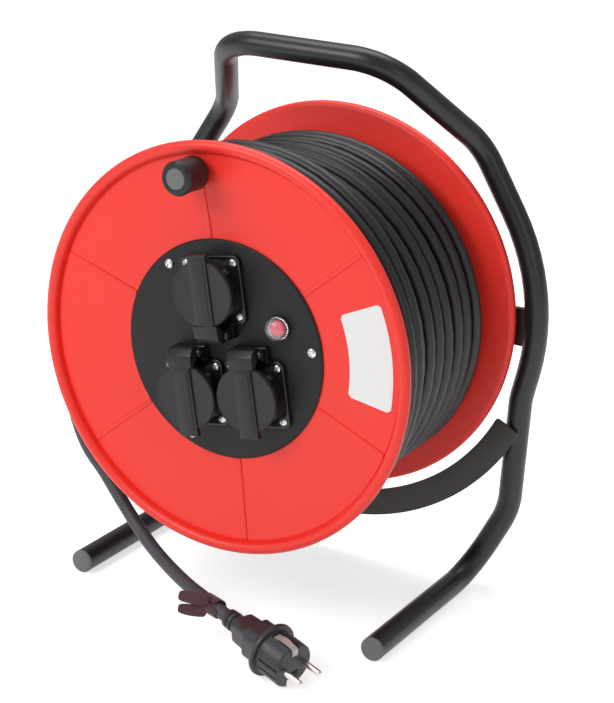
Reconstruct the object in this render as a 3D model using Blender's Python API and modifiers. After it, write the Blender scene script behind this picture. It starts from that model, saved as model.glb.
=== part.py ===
"""Extension cord reel: a steel tube stand carries a plastic cable drum on a fixed axle. The drum holds
three covered sockets, a thermal cut-out and a crank knob, and about forty metres of rubber cable.

Metres, +Z up. The sockets face -Y, the drum turns about Y, and the stand's feet rest on z = 0."""

from math import atan, atan2, cos, degrees, pi, radians, sin, tan

import bmesh
import bpy
from mathutils import Matrix, Vector

MM = 0.001
CLEARANCE = 0.3 * MM

# Drum
AXLE_HEIGHT = 222 * MM
RIM_SPACING = 177.5 * MM
FLANGE_RADIUS = 160 * MM
RIM_BEAD_RADIUS = 4.5 * MM
WEB_THICKNESS = 3.2 * MM
WEB_SET_BACK = 6.8 * MM
WEB_DISH = 5 * MM
FLANGE_BORE_RADIUS = 71.5 * MM
RIB_COUNT = 6
RIB_START_DEG = 100
RIB_WIDTH = 3 * MM
RIB_HEIGHT = 1 * MM
BARREL_WALL = 2.5 * MM

# Axle, bearings and their fasteners
AXLE_RADIUS = 9 * MM
BUSH_WALL = 2.7 * MM
BUSH_LENGTH = 16 * MM
BUSH_COLLAR = 2 * MM
HUB_WALL = 9 * MM
BULKHEAD_SET_BACK = 84 * MM
WASHER_THICKNESS = 1.6 * MM
WASHER_WIDTH = 6 * MM
AXLE_NUT_HEIGHT = 6 * MM
AXLE_NUT_WIDTH = 27 * MM
SPACER_WALL = 3.5 * MM

# Stand
TUBE_RADIUS = 10 * MM
TUBE_WALL = 1.5 * MM
TUBE_SIDES = 10
FRAME_CLEARANCE = 3.5 * MM
UPRIGHT_SET_BACK = 10 * MM
HUB_BEND_LOW_DEG = -12
HUB_BEND_HIGH_DEG = 31.9
WAIST_DROP = 22 * MM
SHOULDER_REACH = 57.9 * MM
HANDLE_HALF_WIDTH = 70.5 * MM
HANDLE_SET_BACK = 108.5 * MM
HANDLE_HEIGHT = 432.8 * MM
LEG_HALF_WIDTH = 162 * MM
KNEE_HEIGHT = 68 * MM
FOOT_HALF_WIDTH = 135 * MM
FOOT_FRONT_SET_BACK = 11.8 * MM
HEEL_INSET = 9.5 * MM
HEEL_BEND = 38 * MM
KNEE_BEND = 60 * MM
SHOULDER_BEND = 42 * MM
HANDLE_BEND = 45 * MM
BEND_STEP_DEG = 15
FOOT_CAP_THICKNESS = 2.6 * MM
FOOT_CAP_SPIGOT = 12 * MM
GUARD_INNER_GAP = 8 * MM
GUARD_WIDTH = 22 * MM
GUARD_THICKNESS = 3 * MM
GUARD_END_DEG = -26
CROSSBAR_HEIGHT = 31 * MM
CROSSBAR_THICKNESS = 5 * MM
CROSSBAR_INSET = 4.5 * MM

# Cable
CABLE_RADIUS = 5.35 * MM
WINDING_RADIUS = 141 * MM
WINDING_TURNS = 11.86
POINTS_PER_TURN = 24
WINDING_SLACK = 2 * MM
LAY_WAVE = 0.35 * MM
RUN_OFF_GAP = 0.2 * MM

# Socket panel
PANEL_TURN_DEG = 10.2
PANEL_RADIUS = 85.3 * MM
PANEL_THICKNESS = 2 * MM
PANEL_SCREW_CIRCLE = 77 * MM
PANEL_SCREW_RADIUS = 2 * MM
PANEL_HEAD_RADIUS = 3.8 * MM
UPPER_SOCKET_HEIGHT = 47.5 * MM
LOWER_SOCKET_DROP = 32.3 * MM
LOWER_SOCKET_SPREAD = 27 * MM
PLATE_SIDE = 52 * MM
PLATE_THICKNESS = 3.5 * MM
PLATE_CORNER = 5 * MM
SOCKET_SCREW_SPACING = 41 * MM
SOCKET_SCREW_RADIUS = 1.6 * MM
SOCKET_HEAD_RADIUS = 3.1 * MM
SCREW_HEAD_HEIGHT = 1.6 * MM
CAN_RADIUS = 21.8 * MM
CAN_DEPTH = 26 * MM
CAN_GAP = 2.2 * MM
COLLAR_RADIUS = 23.5 * MM
COLLAR_HEIGHT = 11 * MM
CUP_RADIUS = 19.5 * MM
CUP_DEPTH = 17.5 * MM
CONTACT_RADIUS = 2.7 * MM
CONTACT_SPACING = 19 * MM
CONTACT_DEPTH = 14 * MM
LID_RADIUS = 25.7 * MM
LID_THICKNESS = 4.5 * MM
LID_EDGE = 1.6 * MM
STRAP_WIDTH = 16 * MM
STRAP_RISE = 1.2 * MM
LID_TAB = 4.5 * MM
HINGE_ARM = 33 * MM
HINGE_RISE = 8.5 * MM
KNUCKLE_RADIUS = 4.8 * MM
KNUCKLE_LENGTH = 21 * MM
EAR_THICKNESS = 3.5 * MM
EAR_RADIUS = 4.4 * MM
EAR_ROOT = 7 * MM
EAR_STEP = 25 * MM
PIN_RADIUS = 1.25 * MM

# Thermal cut-out
CUTOUT_OFFSET = 52 * MM
CUTOUT_HEIGHT = 18.5 * MM
BUTTON_RADIUS = 6.3 * MM
BUTTON_PROUD = 5 * MM
BUTTON_LENGTH = 14 * MM
BUTTON_TRAVEL = 2.5 * MM
CUTOUT_WALL = 1.2 * MM
CUTOUT_BEZEL = 9.4 * MM
BEZEL_HEIGHT = 2 * MM
CUTOUT_DEPTH = 20 * MM
CAP_WALL = 1.5 * MM
CAP_HEIGHT = 8.6 * MM

# Crank knob
KNOB_CIRCLE = 136.5 * MM
KNOB_RADIUS = 13 * MM
KNOB_LENGTH = 26 * MM
KNOB_EDGE = 2.5 * MM
KNOB_REAR = -2.5 * MM
KNOB_COLLAR_RADIUS = 8 * MM
BOLT_RADIUS = 4 * MM
BOLT_HEAD_RADIUS = 6.4 * MM
BOLT_HEAD_HEIGHT = 3 * MM
BOLT_FOOT_HEIGHT = 1.6 * MM
KNOB_CAP_RADIUS = 8 * MM
KNOB_CAP_THICKNESS = 3 * MM

# Label and terminal block
LABEL_INNER_RADIUS = 108 * MM
LABEL_EDGE_GAP = 5 * MM
LABEL_FROM_DEG = -7
LABEL_TO_DEG = 25.5
LABEL_THICKNESS = 0.4 * MM
TERMINAL_SIZE = Vector((34, 12, 18)) * MM

# Plug, which lies nose down on the floor
PLUG_X = 82.4 * MM
PLUG_Y = -52.8 * MM
PLUG_HEADING_DEG = -15.5
PLUG_ROLL_DEG = 6
PLUG_RING_RADIUS = 21.6 * MM
PLUG_RING_THICKNESS = 4 * MM
PLUG_NOSE_RADIUS = 17.8 * MM
PLUG_NOSE_LENGTH = 22 * MM
PLUG_GRIP_RADIUS = 12.2 * MM
PLUG_GRIP_LENGTH = 31 * MM
RELIEF_RADIUS = 7.6 * MM
RELIEF_LENGTH = 15 * MM
RELIEF_GROOVE = 1.1 * MM
PLUG_PIN_RADIUS = 2.4 * MM
PLUG_PIN_LENGTH = 19 * MM
EARTH_SLOT_WIDTH = 9 * MM
EARTH_SLOT_DEPTH = 3 * MM
EARTH_CLIP_THICKNESS = 1 * MM
FLOOR_CLEARANCE = 0.3 * MM

# Free cord: the hand-chosen part of its centre line, between the winding and the plug, in millimetres
CORD_ROUTE_MM = (
    (-149, 14.5, 172), (-145.5, 15, 140), (-134, 16, 111), (-116, 15.5, 91.5), (-97.5, 11.8, 73.8),
    (-78.5, 6, 59.3), (-57, -2.5, 48), (-34, -12, 40.5), (-11, -21.5, 35.8), (8, -29, 33.8),
)
CORD_POINT_SPACING = 14 * MM
CORD_STRAIGHT_END = 14 * MM
TIE_WIDTH = 11 * MM
TIE_THICKNESS = 1.2 * MM
TIE_TAIL_LENGTH = 27 * MM
TIE_TAIL_WIDTH = 9 * MM

# Derived places, from front to rear
RIM_CENTRE_RADIUS = FLANGE_RADIUS - RIM_BEAD_RADIUS
WEB_OUTER_RADIUS = RIM_CENTRE_RADIUS - RIM_BEAD_RADIUS - 1 * MM
BARREL_RADIUS = UPPER_SOCKET_HEIGHT + CAN_RADIUS + CAN_GAP + BARREL_WALL
WEB_SEAT_RADIUS = PANEL_RADIUS + 2.5 * MM
LABEL_OUTER_RADIUS = WEB_OUTER_RADIUS - LABEL_EDGE_GAP
PANEL_FRONT = WEB_SET_BACK - CLEARANCE - PANEL_THICKNESS
PLATE_REAR = PANEL_FRONT - CLEARANCE
PLATE_FRONT = PLATE_REAR - PLATE_THICKNESS
COLLAR_FRONT = PLATE_FRONT - COLLAR_HEIGHT
CUP_FLOOR = COLLAR_FRONT + CUP_DEPTH
LID_REAR = COLLAR_FRONT - CLEARANCE
LID_FRONT = LID_REAR - LID_THICKNESS
HINGE_SET_BACK = PLATE_FRONT - HINGE_RISE
BUSH_RADIUS = AXLE_RADIUS + CLEARANCE + BUSH_WALL
BUSH_COLLAR_RADIUS = BUSH_RADIUS + 3 * MM
HUB_BORE_RADIUS = BUSH_RADIUS + CLEARANCE
HUB_RADIUS = HUB_BORE_RADIUS + HUB_WALL
UPRIGHT_SET = RIM_SPACING + UPRIGHT_SET_BACK
CROSSBAR_CENTRE = UPRIGHT_SET + CROSSBAR_INSET
CROSSBAR_FRONT = CROSSBAR_CENTRE - CROSSBAR_THICKNESS / 2
CROSSBAR_REAR = CROSSBAR_CENTRE + CROSSBAR_THICKNESS / 2
REAR_NUT_FRONT = CROSSBAR_REAR + WASHER_THICKNESS + 2 * CLEARANCE
AXLE_REAR = REAR_NUT_FRONT + AXLE_NUT_HEIGHT + 1.2 * MM
BULKHEAD_HUB_FRONT = BULKHEAD_SET_BACK - (BUSH_LENGTH - WEB_THICKNESS) / 2
FRONT_COLLAR_FACE = BULKHEAD_HUB_FRONT - CLEARANCE - BUSH_COLLAR
FRONT_NUT_REAR = FRONT_COLLAR_FACE - WASHER_THICKNESS - 2 * CLEARANCE
AXLE_FRONT = FRONT_NUT_REAR - AXLE_NUT_HEIGHT - 1.2 * MM
FRAME_BEND_RADIUS = FLANGE_RADIUS + FRAME_CLEARANCE + TUBE_RADIUS
FOOT_AXIS_HEIGHT = TUBE_RADIUS * cos(pi / TUBE_SIDES)
TUBE_BORE_RADIUS = TUBE_RADIUS - TUBE_WALL
GUARD_REAR = UPRIGHT_SET - TUBE_RADIUS - CLEARANCE
GUARD_INNER_RADIUS = FLANGE_RADIUS + GUARD_INNER_GAP
COIL_RADIUS = WINDING_RADIUS - CABLE_RADIUS
CUTOUT_NECK_RADIUS = BUTTON_RADIUS + CLEARANCE + CUTOUT_WALL
CORE_RADIUS = COIL_RADIUS * cos(pi / POINTS_PER_TURN) - CABLE_RADIUS - CLEARANCE
PLUG_TILT = atan((PLUG_RING_RADIUS - PLUG_NOSE_RADIUS) / PLUG_NOSE_LENGTH)
BLACK_PLASTIC = ("black_plastic", (0.022, 0.022, 0.024), 0.42, 0.0)
RED_PLASTIC = ("red_plastic", (0.86, 0.045, 0.035), 0.4, 0.0)
BLACK_PAINT = ("black_paint", (0.02, 0.02, 0.022), 0.38, 0.0)
GREY_PLASTIC = ("grey_plastic", (0.16, 0.17, 0.165), 0.55, 0.0)
RUBBER = ("cable_rubber", (0.028, 0.028, 0.032), 0.55, 0.0)
ZINC = ("zinc_plate", (0.62, 0.63, 0.65), 0.32, 1.0)
NYLON = ("nylon", (0.75, 0.74, 0.7), 0.5, 0.0)
NICKEL = ("nickel_plate", (0.66, 0.63, 0.58), 0.28, 1.0)
TIE_FABRIC = ("tie_fabric", (0.07, 0.025, 0.028), 0.85, 0.0)
CLEAR_PLASTIC = ("clear_plastic", (0.85, 0.9, 0.92), 0.08, 0.0)
RED_BUTTON = ("red_button", (0.75, 0.02, 0.04), 0.35, 0.0)
WHITE_PAPER = ("white_paper", (0.82, 0.82, 0.8), 0.6, 0.0)

TO_FRONT = Matrix.Rotation(pi / 2, 4, "X")
TO_REAR = Matrix.Rotation(-pi / 2, 4, "X")
TO_SIDE = Matrix.Rotation(-pi / 2, 4, "Y")
ALONG_X = Matrix.Rotation(pi / 2, 4, "Y")


def web_front(radius):
    """How far the web's outer face lies behind the rim's plane: flat under the panel, then dished forward."""
    share = (radius - WEB_SEAT_RADIUS) / (WEB_OUTER_RADIUS - WEB_SEAT_RADIUS)
    return WEB_SET_BACK - WEB_DISH * min(max(share, 0), 1)


def web_back(radius):
    return web_front(radius) + WEB_THICKNESS


def collection(name):
    made = bpy.data.collections.new(name)
    bpy.context.scene.collection.children.link(made)
    return made


def pivot(name, parent, place):
    """An empty that carries the pieces of one body or panel."""
    empty = bpy.data.objects.new(name, None)
    PARTS.objects.link(empty)
    empty.parent = parent
    empty.matrix_basis = place
    return empty


def material(finish):
    name, colour, roughness, metallic = finish
    found = bpy.data.materials.get(name)
    if found:
        return found
    made = bpy.data.materials.new(name)
    made.use_nodes = True
    shader = made.node_tree.nodes["Principled BSDF"]
    shader.inputs["Base Color"].default_value = (*colour, 1)
    shader.inputs["Roughness"].default_value = roughness
    shader.inputs["Metallic"].default_value = metallic
    return made


def add(name, data, finish, parent, place=Matrix()):
    """One piece; without a finish it is a cutter or a guide, which no render shows."""
    obj = bpy.data.objects.new(name, data)
    obj.parent = parent
    obj.matrix_basis = place
    if finish:
        PARTS.objects.link(obj)
        data.materials.append(material(finish))
    else:
        CUTTERS.objects.link(obj)
        obj.hide_render = True
        obj.display_type = "WIRE"
    return obj


def settled(obj):
    """Applies the modifiers, or a curve's shape, so that a Boolean can use the mesh, and shades it."""
    bpy.context.view_layer.update()
    graph = bpy.context.evaluated_depsgraph_get()
    mesh = bpy.data.meshes.new_from_object(obj.evaluated_get(graph))
    edit = bmesh.new()
    edit.from_mesh(mesh)
    bmesh.ops.remove_doubles(edit, verts=edit.verts, dist=0.00001)
    bmesh.ops.recalc_face_normals(edit, faces=edit.faces)
    edit.to_mesh(mesh)
    edit.free()
    mesh.shade_smooth()
    mesh.set_sharp_from_angle(angle=radians(35))
    if obj.type == "MESH":
        obj.modifiers.clear()
        obj.data = mesh
        return obj
    new = bpy.data.objects.new(obj.name, mesh)
    for home in obj.users_collection:
        home.objects.link(new)
    new.parent = obj.parent
    new.matrix_basis = obj.matrix_basis
    new.hide_render = obj.hide_render
    new.display_type = obj.display_type
    name = obj.name
    bpy.data.objects.remove(obj)
    new.name = name
    return new


def turned(name, outline, finish, parent, place=Matrix(), steps=32, ring=False):
    """Turns (radius, height) points about local Z. They run down the outer side; a ring closes on itself."""
    mesh = bpy.data.meshes.new(name)
    edges = [(i, i + 1) for i in range(len(outline) - 1)]
    if ring:
        edges.append((len(outline) - 1, 0))
    mesh.from_pydata([(radius, 0, height) for radius, height in outline], edges, [])
    obj = add(name, mesh, finish, parent, place)
    screw = obj.modifiers.new("turn", "SCREW")
    screw.angle = 2 * pi
    screw.steps = steps
    screw.render_steps = steps
    screw.use_merge_vertices = True
    screw.merge_threshold = 0.00001
    return settled(obj)


def facing(outline):
    """(radius, distance behind the rim plane) points as heights on a solid whose top faces the front."""
    return [(radius, -depth) for radius, depth in outline]


def cylinder(name, radius, front, rear, finish, parent, centre=(0, 0), steps=24):
    """A plain round piece along Y, from front to rear, centred on (x, z)."""
    outline = facing([(0, front), (radius, front), (radius, rear), (0, rear)])
    place = Matrix.Translation((centre[0], 0, centre[1])) @ TO_FRONT
    return turned(name, outline, finish, parent, place, steps)


def box(name, size, finish, parent, place=Matrix(), corner=0, corner_axis="Y"):
    """A box of this size; corner rounds the four edges along corner_axis."""
    mesh = bpy.data.meshes.new(name)
    edit = bmesh.new()
    bmesh.ops.create_cube(edit, size=1)
    bmesh.ops.scale(edit, vec=size, verts=edit.verts)
    if corner:
        along = "XYZ".index(corner_axis)
        sides = [e for e in edit.edges if abs((e.verts[0].co - e.verts[1].co)[along]) > size[along] / 2]
        bmesh.ops.bevel(edit, geom=sides, offset=corner, segments=2, affect="EDGES", profile=0.5)
    edit.to_mesh(mesh)
    edit.free()
    return add(name, mesh, finish, parent, place)


def joined_cylinders(name, holes, parent, steps=16):
    """One cutter of several round bars along Y; holes lists (x, z, radius, front, rear)."""
    mesh = bpy.data.meshes.new(name)
    edit = bmesh.new()
    for x, z, radius, front, rear in holes:
        place = Matrix.Translation((x, (front + rear) / 2, z)) @ TO_FRONT
        bmesh.ops.create_cone(edit, cap_ends=True, segments=steps, radius1=radius, radius2=radius,
                              depth=rear - front, matrix=place)
    edit.to_mesh(mesh)
    edit.free()
    return add(name, mesh, None, parent)


def combine(obj, other, operation):
    modifier = obj.modifiers.new(operation.lower(), "BOOLEAN")
    modifier.operation = operation
    modifier.object = other
    modifier.solver = "EXACT"
    return obj


def poly_curve(name, points, finish, parent, cyclic=False, flat=False):
    curve = bpy.data.curves.new(name, "CURVE")
    curve.dimensions = "2D" if flat else "3D"
    spline = curve.splines.new("POLY")
    spline.points.add(len(points) - 1)
    for point, place in zip(spline.points, points):
        point.co = (*place, 1)
    spline.use_cyclic_u = cyclic
    return add(name, curve, finish, parent)


def flat_plate(name, outline, thickness, finish, parent, place=Matrix()):
    """A plate cut to a 2D outline, standing in the X-Z plane, centred on y = 0."""
    obj = poly_curve(name, [(x, z, 0) for x, z in outline], finish, parent, cyclic=True, flat=True)
    obj.data.fill_mode = "BOTH"
    obj.data.extrude = thickness / 2
    obj.matrix_basis = place @ TO_FRONT
    return obj


def tube(name, points, radius, resolution, finish, parent):
    obj = poly_curve(name, points, finish, parent)
    obj.data.bevel_depth = radius
    obj.data.bevel_resolution = resolution
    obj.data.use_fill_caps = True
    return obj


def bent_path(corners):
    """Straight runs between corners, each corner (point, bend radius) rounded by an arc."""
    path = [corners[0][0]]
    for (before, _), (corner, bend), (after, _) in zip(corners, corners[1:], corners[2:]):
        back = (before - corner).normalized()
        ahead = (after - corner).normalized()
        half = back.angle(ahead) / 2
        centre = corner + (back + ahead).normalized() * bend / sin(half)
        start = corner + back * bend / tan(half) - centre
        axis = (-back).cross(ahead).normalized()
        sweep = pi - 2 * half
        steps = max(2, round(degrees(sweep) / BEND_STEP_DEG))
        path += [centre + Matrix.Rotation(sweep * k / steps, 3, axis) @ start for k in range(steps + 1)]
    path.append(corners[-1][0])
    return path


def smooth_path(route, spacing):
    """Points about one spacing apart on a smooth curve through the route's points."""
    ends = [2 * route[0] - route[1], *route, 2 * route[-1] - route[-2]]
    path = []
    for before, start, end, after in zip(ends, ends[1:], ends[2:], ends[3:]):
        steps = max(1, round((end - start).length / spacing))
        for k in range(steps):
            t = k / steps
            path.append(0.5 * (2 * start + (end - before) * t + (2 * before - 5 * start + 4 * end - after) * t**2
                               + (3 * start - before - 3 * end + after) * t**3))
    return path + [route[-1]]


def polar(radius, angle_deg):
    return Vector((radius * cos(radians(angle_deg)), 0, radius * sin(radians(angle_deg))))


# Stand

def frame_corners():
    """The right half of the bent tube, from the foot's front end to the handle."""
    hub = Vector((0, UPRIGHT_SET, AXLE_HEIGHT))
    half_bend = (HUB_BEND_HIGH_DEG - HUB_BEND_LOW_DEG) / 2
    middle = HUB_BEND_LOW_DEG + half_bend
    low_end = hub + polar(FRAME_BEND_RADIUS, HUB_BEND_LOW_DEG)
    high_end = hub + polar(FRAME_BEND_RADIUS, HUB_BEND_HIGH_DEG)
    return [
        (Vector((FOOT_HALF_WIDTH, FOOT_FRONT_SET_BACK, FOOT_AXIS_HEIGHT)), 0),
        (Vector((FOOT_HALF_WIDTH, UPRIGHT_SET - HEEL_INSET, FOOT_AXIS_HEIGHT)), HEEL_BEND),
        (Vector((LEG_HALF_WIDTH, UPRIGHT_SET, KNEE_HEIGHT)), KNEE_BEND),
        (low_end + polar(WAIST_DROP, HUB_BEND_LOW_DEG - 90), KNEE_BEND),
        (hub + polar(FRAME_BEND_RADIUS / cos(radians(half_bend)), middle), FRAME_BEND_RADIUS),
        (high_end + polar(SHOULDER_REACH, HUB_BEND_HIGH_DEG + 90), SHOULDER_BEND),
        (Vector((HANDLE_HALF_WIDTH, HANDLE_SET_BACK, HANDLE_HEIGHT)), HANDLE_BEND),
    ]


def frame_path():
    right = frame_corners()
    left = [(Vector((-point.x, point.y, point.z)), bend) for point, bend in reversed(right)]
    return bent_path(right + left)


def make_frame_tube(parent):
    obj = tube("frame_tube", frame_path(), TUBE_RADIUS, (TUBE_SIDES - 4) // 2, BLACK_PAINT, parent)
    obj.data.use_fill_caps = False
    wall = obj.modifiers.new("wall", "SOLIDIFY")
    wall.thickness = TUBE_WALL
    wall.offset = -1
    return obj


def make_foot_caps(parent):
    outer = FOOT_AXIS_HEIGHT - 0.05 * MM
    spigot = (TUBE_BORE_RADIUS - CLEARANCE) * cos(pi / TUBE_SIDES)
    rear = FOOT_FRONT_SET_BACK - CLEARANCE
    front = rear - FOOT_CAP_THICKNESS
    outline = facing([(0, front), (outer * 0.6, front + 0.2 * MM), (outer * 0.92, front + 0.9 * MM),
                      (outer, front + 1.8 * MM), (outer, rear), (spigot, rear),
                      (spigot, rear + FOOT_CAP_SPIGOT), (0, rear + FOOT_CAP_SPIGOT)])
    for side, name in ((-1, "foot_cap_left"), (1, "foot_cap_right")):
        place = Matrix.Translation((side * FOOT_HALF_WIDTH, 0, FOOT_AXIS_HEIGHT)) @ TO_FRONT
        turned(name, outline, GREY_PLASTIC, parent, place, 20)


def make_guard_plate(parent):
    """A ring sector below the drum, welded to the fronts of both uprights."""
    start = GUARD_END_DEG
    sweep = -180 - 2 * start
    steps = 28
    angles = [start + sweep * k / steps for k in range(steps + 1)]
    outer = [polar(GUARD_INNER_RADIUS + GUARD_WIDTH, angle) for angle in angles]
    inner = [polar(GUARD_INNER_RADIUS, angle) for angle in reversed(angles)]
    place = Matrix.Translation((0, GUARD_REAR - GUARD_THICKNESS / 2, AXLE_HEIGHT))
    outline = [(point.x, point.z) for point in outer + inner]
    return settled(flat_plate("guard_plate", outline, GUARD_THICKNESS, BLACK_PAINT, parent, place))


def make_crossbar(parent):
    """A flat bar between the uprights, its ends hollowed to fit the round tube."""
    size = (2 * FRAME_BEND_RADIUS, CROSSBAR_THICKNESS, CROSSBAR_HEIGHT)
    bar = box("hub_crossbar", size, BLACK_PAINT, parent, Matrix.Translation((0, CROSSBAR_CENTRE, AXLE_HEIGHT)))
    scallop = settled(tube("tube_scallop", frame_path(), TUBE_RADIUS + 1.2 * CLEARANCE,
                           (TUBE_SIDES - 4) // 2, None, parent))
    combine(bar, scallop, "DIFFERENCE")
    hole = joined_cylinders("crossbar_axle_hole", [(0, AXLE_HEIGHT, AXLE_RADIUS + CLEARANCE,
                            CROSSBAR_FRONT - 5 * MM, CROSSBAR_REAR + 5 * MM)], parent, 32)
    return combine(bar, hole, "DIFFERENCE")


# Axle

def ring(name, inner, outer, front, rear, finish, parent, steps=20):
    outline = facing([(inner, front), (outer, front), (outer, rear), (inner, rear)])
    return turned(name, outline, finish, parent, Matrix.Translation((0, 0, AXLE_HEIGHT)) @ TO_FRONT, steps, True)


def hex_nut(name, front, parent):
    mesh = bpy.data.meshes.new(name)
    edit = bmesh.new()
    corner = AXLE_NUT_WIDTH / 2 / cos(pi / 6)
    bmesh.ops.create_cone(edit, cap_ends=True, segments=6, radius1=corner, radius2=corner, depth=AXLE_NUT_HEIGHT)
    edit.to_mesh(mesh)
    edit.free()
    place = Matrix.Translation((0, front + AXLE_NUT_HEIGHT / 2, AXLE_HEIGHT)) @ TO_FRONT
    nut = add(name, mesh, ZINC, parent, place)
    hole = joined_cylinders(name + "_hole", [(0, AXLE_HEIGHT, AXLE_RADIUS + CLEARANCE, front - 5 * MM,
                            front + AXLE_NUT_HEIGHT + 5 * MM)], parent, 32)
    return combine(nut, hole, "DIFFERENCE")


def make_axle(parent):
    chamfer = 1 * MM
    outline = facing([(0, AXLE_FRONT), (AXLE_RADIUS - chamfer, AXLE_FRONT), (AXLE_RADIUS, AXLE_FRONT + chamfer),
                      (AXLE_RADIUS, AXLE_REAR - chamfer), (AXLE_RADIUS - chamfer, AXLE_REAR), (0, AXLE_REAR)])
    turned("axle", outline, ZINC, parent, Matrix.Translation((0, 0, AXLE_HEIGHT)) @ TO_FRONT, 20)
    bore = AXLE_RADIUS + CLEARANCE
    washer = bore + WASHER_WIDTH
    ring("rear_washer", bore, washer, CROSSBAR_REAR + CLEARANCE, CROSSBAR_REAR + CLEARANCE + WASHER_THICKNESS,
         ZINC, parent)
    front = FRONT_COLLAR_FACE - CLEARANCE - WASHER_THICKNESS
    ring("front_washer", bore, washer, front, front + WASHER_THICKNESS, ZINC, parent)
    hex_nut("rear_nut", REAR_NUT_FRONT, parent)
    hex_nut("front_nut", FRONT_NUT_REAR - AXLE_NUT_HEIGHT, parent)
    spacer_front = RIM_SPACING - web_front(0) + CLEARANCE + BUSH_COLLAR + CLEARANCE
    ring("axle_spacer", bore, bore + SPACER_WALL, spacer_front, CROSSBAR_FRONT - CLEARANCE, BLACK_PAINT, parent)


# Drum

def rim_outline():
    """The flange's section from the web round the rim's bead to the web's back, as (radius, depth)."""
    bead = [(RIM_CENTRE_RADIUS + RIM_BEAD_RADIUS * cos(radians(angle)), -RIM_BEAD_RADIUS * sin(radians(angle)))
            for angle in (150, 100, 55, 15, -20, -70)]
    front = [(WEB_SEAT_RADIUS, WEB_SET_BACK), (WEB_OUTER_RADIUS, web_front(WEB_OUTER_RADIUS))]
    back = [(WEB_OUTER_RADIUS, web_back(WEB_OUTER_RADIUS)), (WEB_SEAT_RADIUS, web_back(0))]
    return front + bead + back


def make_ribs(name, parent, place):
    """Raised creases that cross the dished part of a flange."""
    mesh = bpy.data.meshes.new(name)
    edit = bmesh.new()
    length = WEB_OUTER_RADIUS - WEB_SEAT_RADIUS - 1 * MM
    middle = (WEB_OUTER_RADIUS + WEB_SEAT_RADIUS) / 2
    slope = atan2(WEB_DISH, WEB_OUTER_RADIUS - WEB_SEAT_RADIUS)
    depth = 2 * RIB_HEIGHT
    for k in range(RIB_COUNT):
        turn = Matrix.Rotation(radians(RIB_START_DEG + 360 / RIB_COUNT * k), 4, "Z")
        lift = Matrix.Translation((middle, 0, -web_front(middle))) @ Matrix.Rotation(-slope, 4, "Y")
        scale = Matrix.Diagonal((length, RIB_WIDTH, depth, 1))
        bmesh.ops.create_cube(edit, size=1, matrix=turn @ lift @ scale)
    edit.to_mesh(mesh)
    edit.free()
    return add(name, mesh, None, parent, place)


def make_front_flange(parent):
    outline = [(FLANGE_BORE_RADIUS, web_front(0)), *rim_outline(), (FLANGE_BORE_RADIUS, web_back(0))]
    flange = turned("front_flange", facing(outline), RED_PLASTIC, parent, TO_FRONT, 48, True)
    combine(flange, make_ribs("front_ribs", parent, TO_FRONT), "UNION")
    bolt = polar(KNOB_CIRCLE, RIB_START_DEG)
    holes = [(bolt.x, bolt.z, BOLT_RADIUS + CLEARANCE, -15 * MM, 20 * MM)]
    for x, z in panel_screw_places(PANEL_TURN_DEG):
        holes.append((x, z, PANEL_SCREW_RADIUS + CLEARANCE, 0, 20 * MM))
    return combine(flange, joined_cylinders("front_flange_holes", holes, parent), "DIFFERENCE")


def make_rear_flange(parent):
    """The same rim and web, closed to a hub that holds the rear bush."""
    hub_rear = web_front(0) + BUSH_LENGTH
    outline = [(HUB_BORE_RADIUS, web_front(0)), *rim_outline(), (HUB_RADIUS, web_back(0)),
               (HUB_RADIUS, hub_rear), (HUB_BORE_RADIUS, hub_rear)]
    place = Matrix.Translation((0, RIM_SPACING, 0)) @ TO_REAR
    flange = turned("rear_flange", facing(outline), RED_PLASTIC, parent, place, 48, True)
    return combine(flange, make_ribs("rear_ribs", parent, place), "UNION")


def make_barrel(parent):
    front = web_back(0) + CLEARANCE
    rear = RIM_SPACING - front
    inner = BARREL_RADIUS - BARREL_WALL
    turned("drum_barrel", facing([(inner, front), (BARREL_RADIUS, front), (BARREL_RADIUS, rear), (inner, rear)]),
           RED_PLASTIC, parent, TO_FRONT, 30, True)
    edge = (inner - CLEARANCE) * cos(pi / 30)
    hub_rear = BULKHEAD_HUB_FRONT + BUSH_LENGTH
    web_rear = BULKHEAD_SET_BACK + WEB_THICKNESS
    outline = [(HUB_BORE_RADIUS, BULKHEAD_HUB_FRONT), (HUB_RADIUS, BULKHEAD_HUB_FRONT),
               (HUB_RADIUS, BULKHEAD_SET_BACK), (edge, BULKHEAD_SET_BACK), (edge, web_rear),
               (HUB_RADIUS, web_rear), (HUB_RADIUS, hub_rear), (HUB_BORE_RADIUS, hub_rear)]
    turned("bulkhead", facing(outline), BLACK_PLASTIC, parent, TO_FRONT, 30, True)


def make_bushes(parent):
    """Two collared nylon sleeves in which the drum turns on the axle."""
    bore = AXLE_RADIUS + CLEARANCE
    seats = (("bush_front", BULKHEAD_HUB_FRONT, TO_FRONT, 0), ("bush_rear", web_front(0), TO_REAR, RIM_SPACING))
    for name, seat, turn, origin in seats:
        collar_rear = seat - CLEARANCE
        front = collar_rear - BUSH_COLLAR
        rear = seat + BUSH_LENGTH
        outline = [(bore, front), (BUSH_COLLAR_RADIUS, front), (BUSH_COLLAR_RADIUS, collar_rear),
                   (BUSH_RADIUS, collar_rear), (BUSH_RADIUS, rear), (bore, rear)]
        turned(name, facing(outline), NYLON, parent, Matrix.Translation((0, origin, 0)) @ turn, 20, True)


# Cable on the drum

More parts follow.
